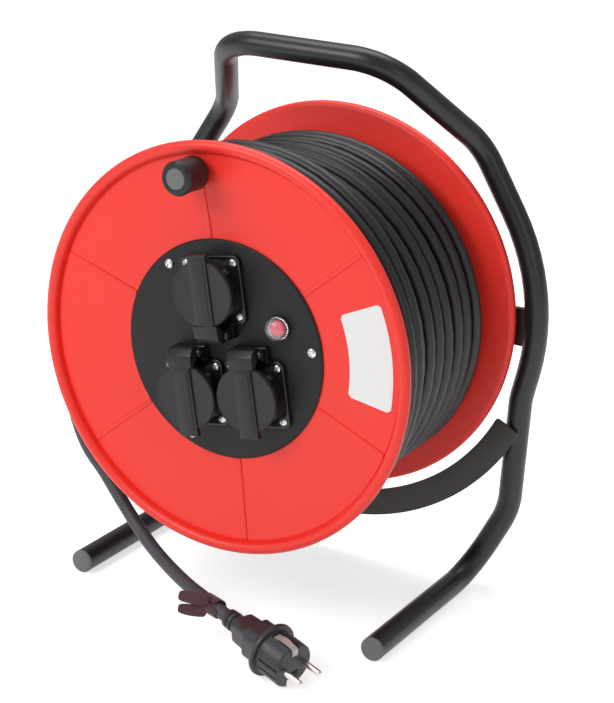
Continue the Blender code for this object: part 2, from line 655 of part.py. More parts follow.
def winding_points():
    """The outer layer's centre line: one helix from the rear to the front, whose ends run straight."""
    first_lane = web_back(COIL_RADIUS - CABLE_RADIUS) + CLEARANCE + CABLE_RADIUS + WINDING_SLACK
    pitch = (RIM_SPACING - 2 * first_lane) / WINDING_TURNS
    count = round(WINDING_TURNS * POINTS_PER_TURN)
    points = []
    for k in range(count + 1):
        left = WINDING_TURNS * (1 - k / count)
        depth = first_lane + pitch * left + LAY_WAVE * sin(2 * pi * 1.3 * left)
        points.append(polar(COIL_RADIUS, 180 - 360 * left) + Vector((0, depth, 0)))
    points.insert(0, points[0] + (points[0] - points[1]).normalized() * 2 * CABLE_RADIUS)
    points.append(points[-1] + Vector((0, 0, -2 * CABLE_RADIUS - CLEARANCE)))
    return points


def least_gap(points, diameter):
    """The least distance between turns, measured between points that lie more than half a turn apart."""
    apart = POINTS_PER_TURN // 2
    return min((a - b).length for i, a in enumerate(points) for b in points[i + apart:]) - diameter


def make_winding(parent):
    front = web_back(0) + CLEARANCE
    slant = web_back(CORE_RADIUS) + CLEARANCE
    inner = BARREL_RADIUS + CLEARANCE
    outline = [(inner, front), (WEB_SEAT_RADIUS, front), (CORE_RADIUS, slant), (CORE_RADIUS, RIM_SPACING - slant),
               (WEB_SEAT_RADIUS, RIM_SPACING - front), (inner, RIM_SPACING - front)]
    turned("winding_core", facing(outline), RUBBER, parent, TO_FRONT, 30, True)
    points = winding_points()
    tube("winding_outer_layer", points, CABLE_RADIUS, 1, RUBBER, parent)
    print(f"winding: least gap between turns {least_gap(points, 2 * CABLE_RADIUS) / MM:.2f} mm")


# Socket panel

def panel_screw_places(turn_deg=0):
    places = [polar(PANEL_SCREW_CIRCLE, turn_deg + 120 * k) for k in range(3)]
    return [(place.x, place.z) for place in places]


SOCKETS = (
    ("top", 0, UPPER_SOCKET_HEIGHT, -1),
    ("left", -LOWER_SOCKET_SPREAD, -LOWER_SOCKET_DROP, 1),
    ("right", LOWER_SOCKET_SPREAD, -LOWER_SOCKET_DROP, 1),
)


def socket_place(x, z, up):
    """The frame of a socket: its centre on the panel, with the hinge towards local +Z."""
    return Matrix.Translation((x, 0, z)) @ Matrix.Rotation(0 if up > 0 else pi, 4, "Y")


def screw_corners():
    half = SOCKET_SCREW_SPACING / 2
    return [(x, z) for x in (-half, half) for z in (-half, half)]


def make_screw(name, radius, head_radius, seat, reach, parent, place):
    """A pan head screw whose head rests on the seat; its cross recess is left to the fine surface."""
    front = seat - CLEARANCE - SCREW_HEAD_HEIGHT
    outline = [(0, front), (head_radius * 0.75, front + SCREW_HEAD_HEIGHT * 0.2),
               (head_radius, front + SCREW_HEAD_HEIGHT * 0.7), (head_radius, seat - CLEARANCE),
               (radius, seat - CLEARANCE), (radius, reach), (0, reach)]
    turned(name, facing(outline), ZINC, parent, place @ TO_FRONT, 8)


def make_panel(parent):
    panel = cylinder("cover_disc", PANEL_RADIUS, PANEL_FRONT, PANEL_FRONT + PANEL_THICKNESS, BLACK_PLASTIC,
                     parent, steps=40)
    front, rear = PANEL_FRONT - 5 * MM, PANEL_FRONT + PANEL_THICKNESS + 5 * MM
    holes = [(x, z, PANEL_SCREW_RADIUS + CLEARANCE, front, rear) for x, z in panel_screw_places()]
    for _, x, z, _ in SOCKETS:
        holes += [(x + dx, z + dz, SOCKET_SCREW_RADIUS + CLEARANCE, front, rear) for dx, dz in screw_corners()]
    combine(panel, joined_cylinders("panel_small_holes", holes, parent, 8), "DIFFERENCE")
    wells = [(x, z, CAN_RADIUS + CLEARANCE, front, rear) for _, x, z, _ in SOCKETS]
    wells.append((CUTOUT_OFFSET, CUTOUT_HEIGHT, CUTOUT_NECK_RADIUS + CLEARANCE, front, rear))
    combine(panel, joined_cylinders("panel_wells", wells, parent, 24), "DIFFERENCE")
    for k, (x, z) in enumerate(panel_screw_places()):
        make_screw(f"panel_screw_{k + 1}", PANEL_SCREW_RADIUS, PANEL_HEAD_RADIUS, PANEL_FRONT,
                   web_back(0) - CLEARANCE, parent, Matrix.Translation((x, 0, z)))


def make_socket_body(name, parent, place):
    """Square plate, rear can, raised collar and hinge ears in one moulding, with the round cup cut out."""
    middle = (PLATE_FRONT + PLATE_REAR) / 2
    body = box(name, (PLATE_SIDE, PLATE_THICKNESS, PLATE_SIDE), BLACK_PLASTIC, parent,
               place @ Matrix.Translation((0, middle, 0)), PLATE_CORNER)
    turn = place @ TO_FRONT
    rear = PANEL_FRONT + PANEL_THICKNESS + CAN_DEPTH
    outline = [(0, COLLAR_FRONT), (COLLAR_RADIUS, COLLAR_FRONT), (COLLAR_RADIUS, middle), (CAN_RADIUS, middle),
               (CAN_RADIUS, rear), (0, rear)]
    core = turned(name + "_core", facing(outline), None, parent, turn, 24)
    ears = joined_ears(name + "_ears", parent, place)
    cup = turned(name + "_cup", facing([(0, COLLAR_FRONT - 5 * MM), (CUP_RADIUS, COLLAR_FRONT - 5 * MM),
                 (CUP_RADIUS, CUP_FLOOR), (0, CUP_FLOOR)]), None, parent, turn, 24)
    holes = [(x, 0, CONTACT_RADIUS, CUP_FLOOR - 2 * MM, CUP_FLOOR + CONTACT_DEPTH)
             for x in (-CONTACT_SPACING / 2, CONTACT_SPACING / 2)]
    for x, z in screw_corners():
        holes.append((x, z, SOCKET_SCREW_RADIUS + CLEARANCE, COLLAR_FRONT, PLATE_REAR + 5 * MM))
    bores = joined_cylinders(name + "_bores", holes, parent, 8)
    bores.matrix_basis = place
    combine(combine(body, core, "UNION"), ears, "UNION")
    combine(combine(body, cup, "DIFFERENCE"), bores, "DIFFERENCE")
    return combine(body, pin_bore(name + "_pin_bore", parent, place), "DIFFERENCE")


def x_bar(name, radius, length, finish, parent, place, steps=16):
    """A round bar along local X on the hinge line."""
    half = length / 2
    spot = place @ Matrix.Translation((0, HINGE_SET_BACK, HINGE_ARM)) @ ALONG_X
    return turned(name, [(0, half), (radius, half), (radius, -half), (0, -half)], finish, parent, spot, steps)


def pin_bore(name, parent, place):
    length = KNUCKLE_LENGTH + 2 * EAR_THICKNESS + 10 * MM
    return x_bar(name, PIN_RADIUS + CLEARANCE, length, None, parent, place, 12)


def joined_ears(name, parent, place):
    """Two lugs that reach from the plate round the ends of the hinge pin."""
    inner = KNUCKLE_LENGTH / 2 + CLEARANCE * 1.5
    mesh = bpy.data.meshes.new(name)
    edit = bmesh.new()
    root = PLATE_SIDE / 2 - EAR_ROOT
    for side in (-1, 1):
        x = side * (inner + EAR_THICKNESS / 2)
        profile = [(HINGE_SET_BACK + EAR_RADIUS * cos(radians(a)), HINGE_ARM + EAR_RADIUS * sin(radians(a)))
                   for a in range(-15, 196, 30)]
        profile += [(LID_REAR + 1 * MM, EAR_STEP), (LID_REAR + 1 * MM, root), (PLATE_REAR - 0.8 * MM, root)]
        verts = [edit.verts.new((x - EAR_THICKNESS / 2, y, z)) for y, z in profile]
        face = edit.faces.new(verts)
        grown = bmesh.ops.extrude_face_region(edit, geom=[face])
        moved = [item for item in grown["geom"] if isinstance(item, bmesh.types.BMVert)]
        bmesh.ops.translate(edit, vec=(EAR_THICKNESS, 0, 0), verts=moved)
    bmesh.ops.recalc_face_normals(edit, faces=edit.faces)
    edit.to_mesh(mesh)
    edit.free()
    return add(name, mesh, None, parent, place)


def make_lid(name, parent, place):
    """Round cover with a raised strap that ends in a finger tab and, at the hinge, in a knuckle."""
    outline = facing([(0, LID_FRONT), (LID_RADIUS - 2 * LID_EDGE, LID_FRONT),
                      (LID_RADIUS - 0.5 * LID_EDGE, LID_FRONT + 0.5 * LID_EDGE),
                      (LID_RADIUS, LID_FRONT + 1.5 * LID_EDGE), (LID_RADIUS, LID_REAR), (0, LID_REAR)])
    hinge = place @ Matrix.Translation((0, HINGE_SET_BACK, HINGE_ARM))
    shift = Matrix.Translation((0, -HINGE_SET_BACK, -HINGE_ARM))
    lid = turned(name, outline, BLACK_PLASTIC, parent, hinge, 28)
    lid.data.transform(shift @ TO_FRONT)
    lid.data.update()
    strap_front = LID_FRONT - STRAP_RISE
    knuckle_front = HINGE_SET_BACK - KNUCKLE_RADIUS
    side = [(-LID_RADIUS - LID_TAB, strap_front + 1.2 * MM), (-LID_RADIUS - LID_TAB + 1.2 * MM, strap_front),
            (LID_RADIUS - 1 * MM, strap_front), (HINGE_ARM - 1 * MM, knuckle_front + 0.1 * MM),
            (HINGE_ARM, HINGE_SET_BACK), (LID_RADIUS - 1.5 * MM, LID_REAR - 0.6 * MM),
            (-LID_RADIUS - LID_TAB, LID_REAR - 0.6 * MM)]
    strap = flat_plate(name + "_strap", side, STRAP_WIDTH, None, parent)
    strap.matrix_basis = place @ TO_SIDE
    combine(lid, settled(strap), "UNION")
    combine(lid, x_bar(name + "_knuckle", KNUCKLE_RADIUS, KNUCKLE_LENGTH, None, parent, place, 20), "UNION")
    return combine(lid, pin_bore(name + "_bore", parent, place), "DIFFERENCE")


def make_sockets(parent):
    for label, x, z, up in SOCKETS:
        place = socket_place(x, z, up)
        make_socket_body(f"socket_body_{label}", parent, place)
        make_lid(f"lid_{label}", parent, place)
        length = KNUCKLE_LENGTH + 2 * EAR_THICKNESS + 3 * CLEARANCE
        x_bar(f"lid_pin_{label}", PIN_RADIUS, length, ZINC, parent, place, 10)
        for k, (dx, dz) in enumerate(screw_corners()):
            make_screw(f"socket_screw_{label}_{k + 1}", SOCKET_SCREW_RADIUS, SOCKET_HEAD_RADIUS, PLATE_FRONT,
                       PANEL_FRONT + PANEL_THICKNESS, parent, Matrix.Translation((x + dx, 0, z + dz)))


# Thermal cut-out

def make_cutout(parent):
    """A button in a round housing, under a clear boot that is open at its back."""
    place = Matrix.Translation((CUTOUT_OFFSET, 0, CUTOUT_HEIGHT)) @ TO_FRONT
    bore = BUTTON_RADIUS + CLEARANCE
    bezel_rear = PANEL_FRONT - CLEARANCE
    bezel_front = bezel_rear - BEZEL_HEIGHT
    button_front = PANEL_FRONT - BUTTON_PROUD
    floor = button_front + BUTTON_LENGTH + BUTTON_TRAVEL + CLEARANCE
    rear = PANEL_FRONT + CUTOUT_DEPTH
    turned("cutout_body", facing([(0, floor), (bore, floor), (bore, bezel_front), (CUTOUT_BEZEL, bezel_front),
           (CUTOUT_BEZEL, bezel_rear), (CUTOUT_NECK_RADIUS, bezel_rear), (CUTOUT_NECK_RADIUS, rear), (0, rear)]),
           BLACK_PLASTIC, parent, place, 24)
    edge = 1 * MM
    turned("reset_button", facing([(0, button_front), (BUTTON_RADIUS - edge, button_front),
           (BUTTON_RADIUS, button_front + edge), (BUTTON_RADIUS, button_front + BUTTON_LENGTH),
           (0, button_front + BUTTON_LENGTH)]), RED_BUTTON, parent, place, 20)
    back = bezel_front - CLEARANCE
    front = back - CAP_HEIGHT
    turned("cutout_boot", facing([(0, front), (CUTOUT_BEZEL - 2 * edge, front), (CUTOUT_BEZEL - edge, front + edge),
           (CUTOUT_BEZEL - edge / 2, back), (CUTOUT_BEZEL - edge / 2 - CAP_WALL, back),
           (CUTOUT_BEZEL - edge - CAP_WALL, front + CAP_WALL), (0, front + CAP_WALL)]),
           CLEAR_PLASTIC, parent, place, 24)


def make_terminal_block(parent):
    """Where the cable's inner end meets the wires of the sockets, on the front of the bulkhead."""
    centre = (-42 * MM, BULKHEAD_SET_BACK - CLEARANCE - TERMINAL_SIZE.y / 2, 20 * MM)
    box("terminal_block", TERMINAL_SIZE, NYLON, parent, Matrix.Translation(centre), 1.5 * MM)


def make_label(parent):
    """A blank sheet on the dished web, cut as a sector."""
    rear_inner = web_front(LABEL_INNER_RADIUS) - CLEARANCE
    rear_outer = web_front(LABEL_OUTER_RADIUS) - CLEARANCE
    outline = [(LABEL_INNER_RADIUS, rear_inner - LABEL_THICKNESS), (LABEL_OUTER_RADIUS, rear_outer - LABEL_THICKNESS),
               (LABEL_OUTER_RADIUS, rear_outer), (LABEL_INNER_RADIUS, rear_inner)]
    label = turned("rating_label", facing(outline), WHITE_PAPER, parent, TO_FRONT, 48, True)
    reach = LABEL_OUTER_RADIUS * 1.5
    middle = (LABEL_FROM_DEG + LABEL_TO_DEG) / 2
    corners = [Vector(), *(polar(reach, angle) for angle in (LABEL_FROM_DEG, middle, LABEL_TO_DEG))]
    wedge = flat_plate("label_wedge", [(point.x, point.z) for point in corners], 4 * WEB_SET_BACK, None, parent)
    return combine(label, settled(wedge), "INTERSECT")


# Crank knob

def make_knob(parent):
    """A knob that turns on a shouldered bolt; a grey cap hides the bolt's head."""
    spot = polar(KNOB_CIRCLE, RIB_START_DEG)
    place = Matrix.Translation(spot) @ TO_FRONT
    front = KNOB_REAR - KNOB_LENGTH
    cap_rear = front + KNOB_CAP_THICKNESS
    head_front = cap_rear + CLEARANCE
    head_rear = head_front + BOLT_HEAD_HEIGHT
    seat = head_rear + CLEARANCE
    bore = BOLT_RADIUS + CLEARANCE
    pocket = KNOB_CAP_RADIUS + CLEARANCE
    turned("crank_knob", facing([(pocket, front), (KNOB_RADIUS - KNOB_EDGE, front),
           (KNOB_RADIUS - KNOB_EDGE * 0.3, front + KNOB_EDGE * 0.3), (KNOB_RADIUS, front + KNOB_EDGE),
           (KNOB_RADIUS - 1 * MM, KNOB_REAR - 3 * MM), (KNOB_RADIUS - 1.6 * MM, KNOB_REAR), (bore, KNOB_REAR),
           (bore, seat), (pocket, seat)]), BLACK_PLASTIC, parent, place, 22, True)
    turned("knob_cap", facing([(0, front - 0.6 * MM), (KNOB_CAP_RADIUS - 1.5 * MM, front - 0.4 * MM),
           (KNOB_CAP_RADIUS, front + 0.2 * MM), (KNOB_CAP_RADIUS, cap_rear), (0, cap_rear)]),
           GREY_PLASTIC, parent, place, 20)
    collar_front = KNOB_REAR + CLEARANCE
    collar_rear = web_front(KNOB_CIRCLE + KNOB_COLLAR_RADIUS) - RIB_HEIGHT - CLEARANCE
    foot_front = web_back(KNOB_CIRCLE - BOLT_HEAD_RADIUS) + CLEARANCE
    foot_rear = foot_front + BOLT_FOOT_HEIGHT
    turned("knob_bolt", facing([(0, head_front), (BOLT_HEAD_RADIUS, head_front), (BOLT_HEAD_RADIUS, head_rear),
           (BOLT_RADIUS, head_rear), (BOLT_RADIUS, collar_front), (KNOB_COLLAR_RADIUS, collar_front),
           (KNOB_COLLAR_RADIUS, collar_rear), (BOLT_RADIUS, collar_rear), (BOLT_RADIUS, foot_front),
           (BOLT_HEAD_RADIUS, foot_front), (BOLT_HEAD_RADIUS, foot_rear), (0, foot_rear)]),
           ZINC, parent, place, 16)
    return front - 0.6 * MM


# Free cord and plug

def plug_place():
    """The plug's frame: local X runs to the nose, and the ring's rear face lies at x = 0."""
    ring_bottom = PLUG_RING_RADIUS * cos(PLUG_TILT) + PLUG_RING_THICKNESS * sin(PLUG_TILT) + FLOOR_CLEARANCE
    heading = Matrix.Rotation(radians(PLUG_HEADING_DEG), 4, "Z")
    tilt = Matrix.Rotation(PLUG_TILT, 4, "Y")
    roll = Matrix.Rotation(radians(PLUG_ROLL_DEG), 4, "X")
    return Matrix.Translation((PLUG_X, PLUG_Y, ring_bottom)) @ heading @ tilt @ roll


def make_plug(parent):
    place = plug_place()
    nose_end = PLUG_RING_THICKNESS + PLUG_NOSE_LENGTH
    grip_end = -PLUG_GRIP_LENGTH
    neck = grip_end - RELIEF_LENGTH
    groove = RELIEF_RADIUS - RELIEF_GROOVE
    edge = 0.7 * MM
    outline = [(0, nose_end), (PLUG_NOSE_RADIUS - edge, nose_end), (PLUG_NOSE_RADIUS, nose_end - edge),
               (PLUG_NOSE_RADIUS, PLUG_RING_THICKNESS), (PLUG_RING_RADIUS, PLUG_RING_THICKNESS),
               (PLUG_RING_RADIUS, edge), (PLUG_RING_RADIUS - edge, 0), (PLUG_GRIP_RADIUS * 1.2, 0),
               (PLUG_GRIP_RADIUS * 1.02, grip_end * 0.25), (PLUG_GRIP_RADIUS, grip_end * 0.9),
               (PLUG_GRIP_RADIUS * 0.85, grip_end), (RELIEF_RADIUS, grip_end)]
    for k in (1, 3):
        start, end = grip_end - RELIEF_LENGTH * k / 5, grip_end - RELIEF_LENGTH * (k + 1) / 5
        outline += [(RELIEF_RADIUS, start), (groove, start), (groove, end), (RELIEF_RADIUS, end)]
    outline += [(RELIEF_RADIUS, neck), (0, neck)]
    body = turned("plug_body", outline, BLACK_PLASTIC, parent, place @ ALONG_X, 24)
    floor_radius = PLUG_NOSE_RADIUS - EARTH_SLOT_DEPTH
    slot_rear = PLUG_RING_THICKNESS + 2 * MM
    for side, name in ((1, "upper"), (-1, "lower")):
        size = (PLUG_NOSE_LENGTH + 10 * MM, EARTH_SLOT_WIDTH, 20 * MM)
        spot = (slot_rear + size[0] / 2, 0, side * (floor_radius + size[2] / 2))
        combine(body, box(f"earth_slot_{name}", size, None, parent, place @ Matrix.Translation(spot)), "DIFFERENCE")
        length = nose_end - slot_rear - 2 * CLEARANCE
        spot = (slot_rear + CLEARANCE + length / 2, 0, side * (floor_radius + CLEARANCE + EARTH_CLIP_THICKNESS / 2))
        box(f"plug_earth_clip_{name}", (length, EARTH_SLOT_WIDTH - 4 * CLEARANCE, EARTH_CLIP_THICKNESS), NICKEL,
            parent, place @ Matrix.Translation(spot))
    tip = nose_end + CLEARANCE + PLUG_PIN_LENGTH
    for side, name in ((-1, "left"), (1, "right")):
        pin = [(0, tip), (PLUG_PIN_RADIUS * 0.6, tip), (PLUG_PIN_RADIUS, tip - 1.2 * MM),
               (PLUG_PIN_RADIUS, nose_end + CLEARANCE), (0, nose_end + CLEARANCE)]
        spot = place @ Matrix.Translation((0, side * CONTACT_SPACING / 2, 0)) @ ALONG_X
        turned(f"plug_pin_{name}", pin, NICKEL, parent, spot, 14)


def cord_route():
    """From beside the winding's end, where the turning drum clears it, to the plug's neck."""
    start = winding_points()[-1] + Vector((-2 * CABLE_RADIUS - RUN_OFF_GAP, 0, AXLE_HEIGHT - CLEARANCE))
    neck = -PLUG_GRIP_LENGTH - RELIEF_LENGTH - CLEARANCE
    place = plug_place()
    ends = [place @ Vector((neck - CORD_STRAIGHT_END, 0, 0)), place @ Vector((neck, 0, 0))]
    free = [Vector(point) * MM for point in CORD_ROUTE_MM]
    return [start, start - Vector((0, 0, CORD_STRAIGHT_END)), *free, *ends]


def make_free_cord(parent):
    route = cord_route()
    path = smooth_path(route, CORD_POINT_SPACING)
    tube("free_cord", path, CABLE_RADIUS, 2, RUBBER, parent)
    length = sum((b - a).length for a, b in zip(path, path[1:]))
    print(f"free cord: {len(path)} points, {length / MM:.0f} mm")


def make_tie(parent):
    """A short strap round the cord just behind the plug, with its tails lying back along the cord."""
    neck = -PLUG_GRIP_LENGTH - RELIEF_LENGTH - CLEARANCE - CORD_STRAIGHT_END / 2
    place = plug_place() @ Matrix.Translation((neck, 0, 0))
    inner = CABLE_RADIUS + 2 * CLEARANCE
    outer = inner + TIE_THICKNESS
    half = TIE_WIDTH / 2
    tie = turned("cable_tie", [(inner, half), (outer, half), (outer, -half), (inner, -half)], TIE_FABRIC, parent,
                 place @ ALONG_X, 16, True)
    tail = Matrix.Translation((-TIE_TAIL_LENGTH / 2 + half, -outer + TIE_THICKNESS / 4, -2 * MM))
    turn = Matrix.Rotation(radians(9), 4, "Z")
    size = (TIE_TAIL_LENGTH, TIE_THICKNESS, TIE_TAIL_WIDTH)
    return combine(tie, box("tie_tail", size, None, parent, place @ turn @ tail), "UNION")


def main():
    root = pivot("cable_reel", None, Matrix())
    make_frame_tube(root)
    make_foot_caps(root)
    make_guard_plate(root)
    make_crossbar(root)
    make_axle(root)
    drum = pivot("drum", root, Matrix.Translation((0, 0, AXLE_HEIGHT)))
    make_front_flange(drum)
    make_rear_flange(drum)
    make_barrel(drum)
    make_bushes(drum)
    make_winding(drum)
    panel = pivot("socket_panel", drum, Matrix.Rotation(-radians(PANEL_TURN_DEG), 4, "Y"))
    make_panel(panel)
    make_sockets(panel)
    make_cutout(panel)
    make_terminal_block(drum)
    make_label(drum)
    knob_front = make_knob(drum)
    make_plug(root)
    make_free_cord(root)
    make_tie(root)
    root.location.y = -(knob_front + AXLE_REAR) / 2
    print(f"shift along Y: {root.location.y / MM:.3f} mm")


for leftover in list(bpy.data.objects):
    bpy.data.objects.remove(leftover)
PARTS = collection("extension_cord_reel")
CUTTERS = collection("cutters")
main()
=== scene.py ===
# %% [markdown]
# # Extension cord reel
# A steel tube stand carries a red drum of rubber cable. The drum's face holds three covered sockets, a reset
# button and a crank knob. The imported CAD model gives every piece its place; this lesson dresses it with finer
# shapes, materials, light and a camera.

# %% Imports
from math import cos, pi, radians, sin, tan

import bmesh
import bpy
from mathutils import Matrix, Vector


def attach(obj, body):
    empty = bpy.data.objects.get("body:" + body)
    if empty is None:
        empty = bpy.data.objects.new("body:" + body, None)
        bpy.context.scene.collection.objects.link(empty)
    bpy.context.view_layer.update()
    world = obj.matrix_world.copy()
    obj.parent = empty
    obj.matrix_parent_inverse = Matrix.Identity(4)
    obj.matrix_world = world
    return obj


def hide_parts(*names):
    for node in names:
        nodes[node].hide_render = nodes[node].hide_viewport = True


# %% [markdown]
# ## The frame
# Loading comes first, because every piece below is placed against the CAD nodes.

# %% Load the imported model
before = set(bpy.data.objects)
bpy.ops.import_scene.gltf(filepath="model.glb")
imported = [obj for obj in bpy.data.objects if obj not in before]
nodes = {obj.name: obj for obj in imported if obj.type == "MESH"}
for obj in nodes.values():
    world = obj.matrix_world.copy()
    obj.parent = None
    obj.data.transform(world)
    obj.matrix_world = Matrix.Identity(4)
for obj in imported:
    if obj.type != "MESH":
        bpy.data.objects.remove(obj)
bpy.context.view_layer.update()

# %% [markdown]
# ## Units and places
# The reel was drawn in millimetres, with the plane of the front rim at y = 0. The model's origin lies midway
# between the knob and the rear nut, so one shift along Y turns drawing places into places in the frame.

# %% Places
MM = 0.001
RIM_PLANE = -87.4
AXLE_HEIGHT = 222
RIM_SPACING = 177.5
TO_FRONT = Matrix.Rotation(pi / 2, 4, "X")
TO_REAR = Matrix.Rotation(-pi / 2, 4, "X")
ALONG_X = Matrix.Rotation(pi / 2, 4, "Y")


def at(x, y, z):
    """A drawing place, in millimetres, as a place in the frame, in metres."""
    return Vector((x, y + RIM_PLANE, z)) * MM


def polar(radius, angle_deg):
    """A place in the drum's plane: x and z, measured from the axle."""
    return radius * cos(radians(angle_deg)), radius * sin(radians(angle_deg))


def shift(x, y, z):
    """A move by millimetres along the local axes."""
    return Matrix.Translation((x * MM, y * MM, z * MM))


DRUM = Matrix.Translation(at(0, 0, AXLE_HEIGHT))
print("drum axle at", [round(v, 4) for v in DRUM.translation])

# %% [markdown]
# ## Camera
# The camera stands where the photograph was taken from: a long lens to the right of the reel, looking down a
# little. The three angles are turned into the camera's own axes, which are clearer to check than Euler angles.

# %% Camera
AZIMUTH, ELEVATION, ROLL = radians(29.5334), radians(19.2174), radians(2.2753)
FOCAL_PIXELS, IMAGE_HEIGHT, SENSOR = 1981.85, 703, 36
CAMERA_PLACE = at(744.229, -1182.373, 711.551)


def linked(name, data):
    """A new object in the scene."""
    obj = bpy.data.objects.new(name, data)
    bpy.context.scene.collection.objects.link(obj)
    return obj


back = Vector((sin(AZIMUTH) * cos(ELEVATION), -cos(AZIMUTH) * cos(ELEVATION), sin(ELEVATION)))
level = (-back).cross(Vector((0, 0, 1))).normalized()
rise = level.cross(-back)
camera_x = cos(ROLL) * level + sin(ROLL) * rise
camera_y = cos(ROLL) * rise - sin(ROLL) * level

camera = linked("camera", bpy.data.cameras.new("camera"))
turn = Matrix((camera_x, camera_y, back)).transposed().to_4x4()
camera.matrix_world = Matrix.Translation(CAMERA_PLACE) @ turn
camera.data.sensor_width = SENSOR
camera.data.lens = FOCAL_PIXELS / IMAGE_HEIGHT * SENSOR
camera.data.clip_start = 0.05
bpy.context.scene.camera = camera
print("lens", round(camera.data.lens, 1), "mm")

# %% [markdown]
# ## Shading helpers
# Moulded plastic, paint and rubber all show a fine grain, a little unevenness of gloss and some handling marks.
# One node group makes those from three noise textures, and each material gives it its own scales and amounts.

# %% Node helpers
def add_node(tree, kind, **values):
    """A node, with properties and input values set by name."""
    made = tree.nodes.new(kind)
    for name, value in values.items():
        if name in made.inputs:
            made.inputs[name].default_value = value
        else:
            setattr(made, name, value)
    return made


def wire(tree, source, output, target, socket):
    tree.links.new(source.outputs[output], target.inputs[socket])


def group(name, inputs, outputs):
    """An empty shader group with named sockets: inputs maps a name to (kind, default)."""
    tree = bpy.data.node_groups.new(name, "ShaderNodeTree")
    for label, (kind, default) in inputs.items():
        socket = tree.interface.new_socket(label, in_out="INPUT", socket_type="NodeSocket" + kind)
        socket.default_value = default
    for label, kind in outputs.items():
        tree.interface.new_socket(label, in_out="OUTPUT", socket_type="NodeSocket" + kind)
    return tree, add_node(tree, "NodeGroupInput"), add_node(tree, "NodeGroupOutput")


def scaled_noise(tree, scale_source, scale_output, detail, coordinates):
    noise = add_node(tree, "ShaderNodeTexNoise", Detail=detail)
    wire(tree, coordinates, "Object", noise, "Vector")
    wire(tree, scale_source, scale_output, noise, "Scale")
    return noise


def ranged(tree, source, output, low, high, low_to=0.0, high_to=1.0):
    made = add_node(tree, "ShaderNodeMapRange")
    made.inputs["From Min"].default_value = low
    made.inputs["From Max"].default_value = high
    made.inputs["To Min"].default_value = low_to
    made.inputs["To Max"].default_value = high_to
    wire(tree, source, output, made, "Value")
    return made


def maths(tree, operation, first, second):
    """A Math node; each operand is a number or a (node, output) pair."""
    made = add_node(tree, "ShaderNodeMath", operation=operation)
    for k, operand in enumerate((first, second)):
        if isinstance(operand, tuple):
            tree.links.new(operand[0].outputs[operand[1]], made.inputs[k])
        else:
            made.inputs[k].default_value = operand
    return made


print("node helpers ready")


# %% The surface group
def make_surface_group():
    inputs = {
        "Color": ("Color", (0.5, 0.5, 0.5, 1)),
        "Mark Color": ("Color", (0.5, 0.5, 0.5, 1)),
        "Patch Scale": ("Float", 18.0),
        "Patch Amount": ("Float", 0.1),
        "Grain Scale": ("Float", 900.0),
        "Mark Amount": ("Float", 0.2),
        "Roughness": ("Float", 0.4),
        "Roughness Spread": ("Float", 0.15),
    }
    outputs = {"Color": "Color", "Roughness": "Float", "Height": "Float"}
    tree, given, result = group("worn_surface", inputs, outputs)
    place = add_node(tree, "ShaderNodeTexCoord")
    patch = scaled_noise(tree, given, "Patch Scale", 3, place)
    grain = scaled_noise(tree, given, "Grain Scale", 2, place)
    stretch = add_node(tree, "ShaderNodeMapping", Scale=(1, 0.25, 1.6))
    wire(tree, place, "Object", stretch, "Vector")
    scratch = add_node(tree, "ShaderNodeTexNoise", Scale=160, Detail=6)
    wire(tree, stretch, "Vector", scratch, "Vector")

    centred = maths(tree, "SUBTRACT", (patch, "Fac"), 0.5)
    amount = maths(tree, "MULTIPLY", (centred, "Value"), (given, "Patch Amount"))
    level_of = maths(tree, "ADD", (amount, "Value"), 1.0)
    shade = add_node(tree, "ShaderNodeVectorMath", operation="SCALE")
    wire(tree, given, "Color", shade, 0)
    wire(tree, level_of, "Value", shade, "Scale")
    spots = ranged(tree, scratch, "Fac", 0.6, 0.74)
    marks = maths(tree, "MULTIPLY", (spots, "Result"), (given, "Mark Amount"))
    mixed = add_node(tree, "ShaderNodeMix", data_type="RGBA")
    wire(tree, marks, "Value", mixed, "Factor")
    tree.links.new(shade.outputs["Vector"], mixed.inputs[6])
    tree.links.new(given.outputs["Mark Color"], mixed.inputs[7])
    tree.links.new(mixed.outputs[2], result.inputs["Color"])

    spread = maths(tree, "MULTIPLY", (centred, "Value"), (given, "Roughness Spread"))
    base = maths(tree, "ADD", (spread, "Value"), (given, "Roughness"))
    rough = maths(tree, "ADD", (base, "Value"), (marks, "Value"))
    wire(tree, rough, "Value", result, "Roughness")
    wire(tree, grain, "Fac", result, "Height")
    return tree


SURFACE = make_surface_group()
print("group", SURFACE.name, "with", len(SURFACE.nodes), "nodes")


# %% A material from the surface group
AMOUNTS = ("Patch Scale", "Patch Amount", "Grain Scale", "Mark Amount", "Roughness", "Roughness Spread")


def finish_of(name, colour, mark_colour, amounts, bump, **shader_values):
    """A Principled material fed by the surface group; bump is (distance in millimetres, strength).

    Values for the shader's own sockets are given by name, with _ for a space.
    """
    made = bpy.data.materials.new(name)
    made.use_nodes = True
    tree = made.node_tree
    shader = tree.nodes["Principled BSDF"]
    surface = add_node(tree, "ShaderNodeGroup", node_tree=SURFACE)
    surface.inputs["Color"].default_value = (*colour, 1)
    surface.inputs["Mark Color"].default_value = (*mark_colour, 1)
    for label, value in zip(AMOUNTS, amounts):
        surface.inputs[label].default_value = value
    for label, value in shader_values.items():
        shader.inputs[label.replace("_", " ")].default_value = value
    relief = add_node(tree, "ShaderNodeBump", Distance=bump[0] * MM, Strength=bump[1])
    wire(tree, surface, "Color", shader, "Base Color")
    wire(tree, surface, "Roughness", shader, "Roughness")
    wire(tree, surface, "Height", relief, "Height")
    wire(tree, relief, "Normal", shader, "Normal")
    return made


print("amounts in a finish:", len(AMOUNTS))

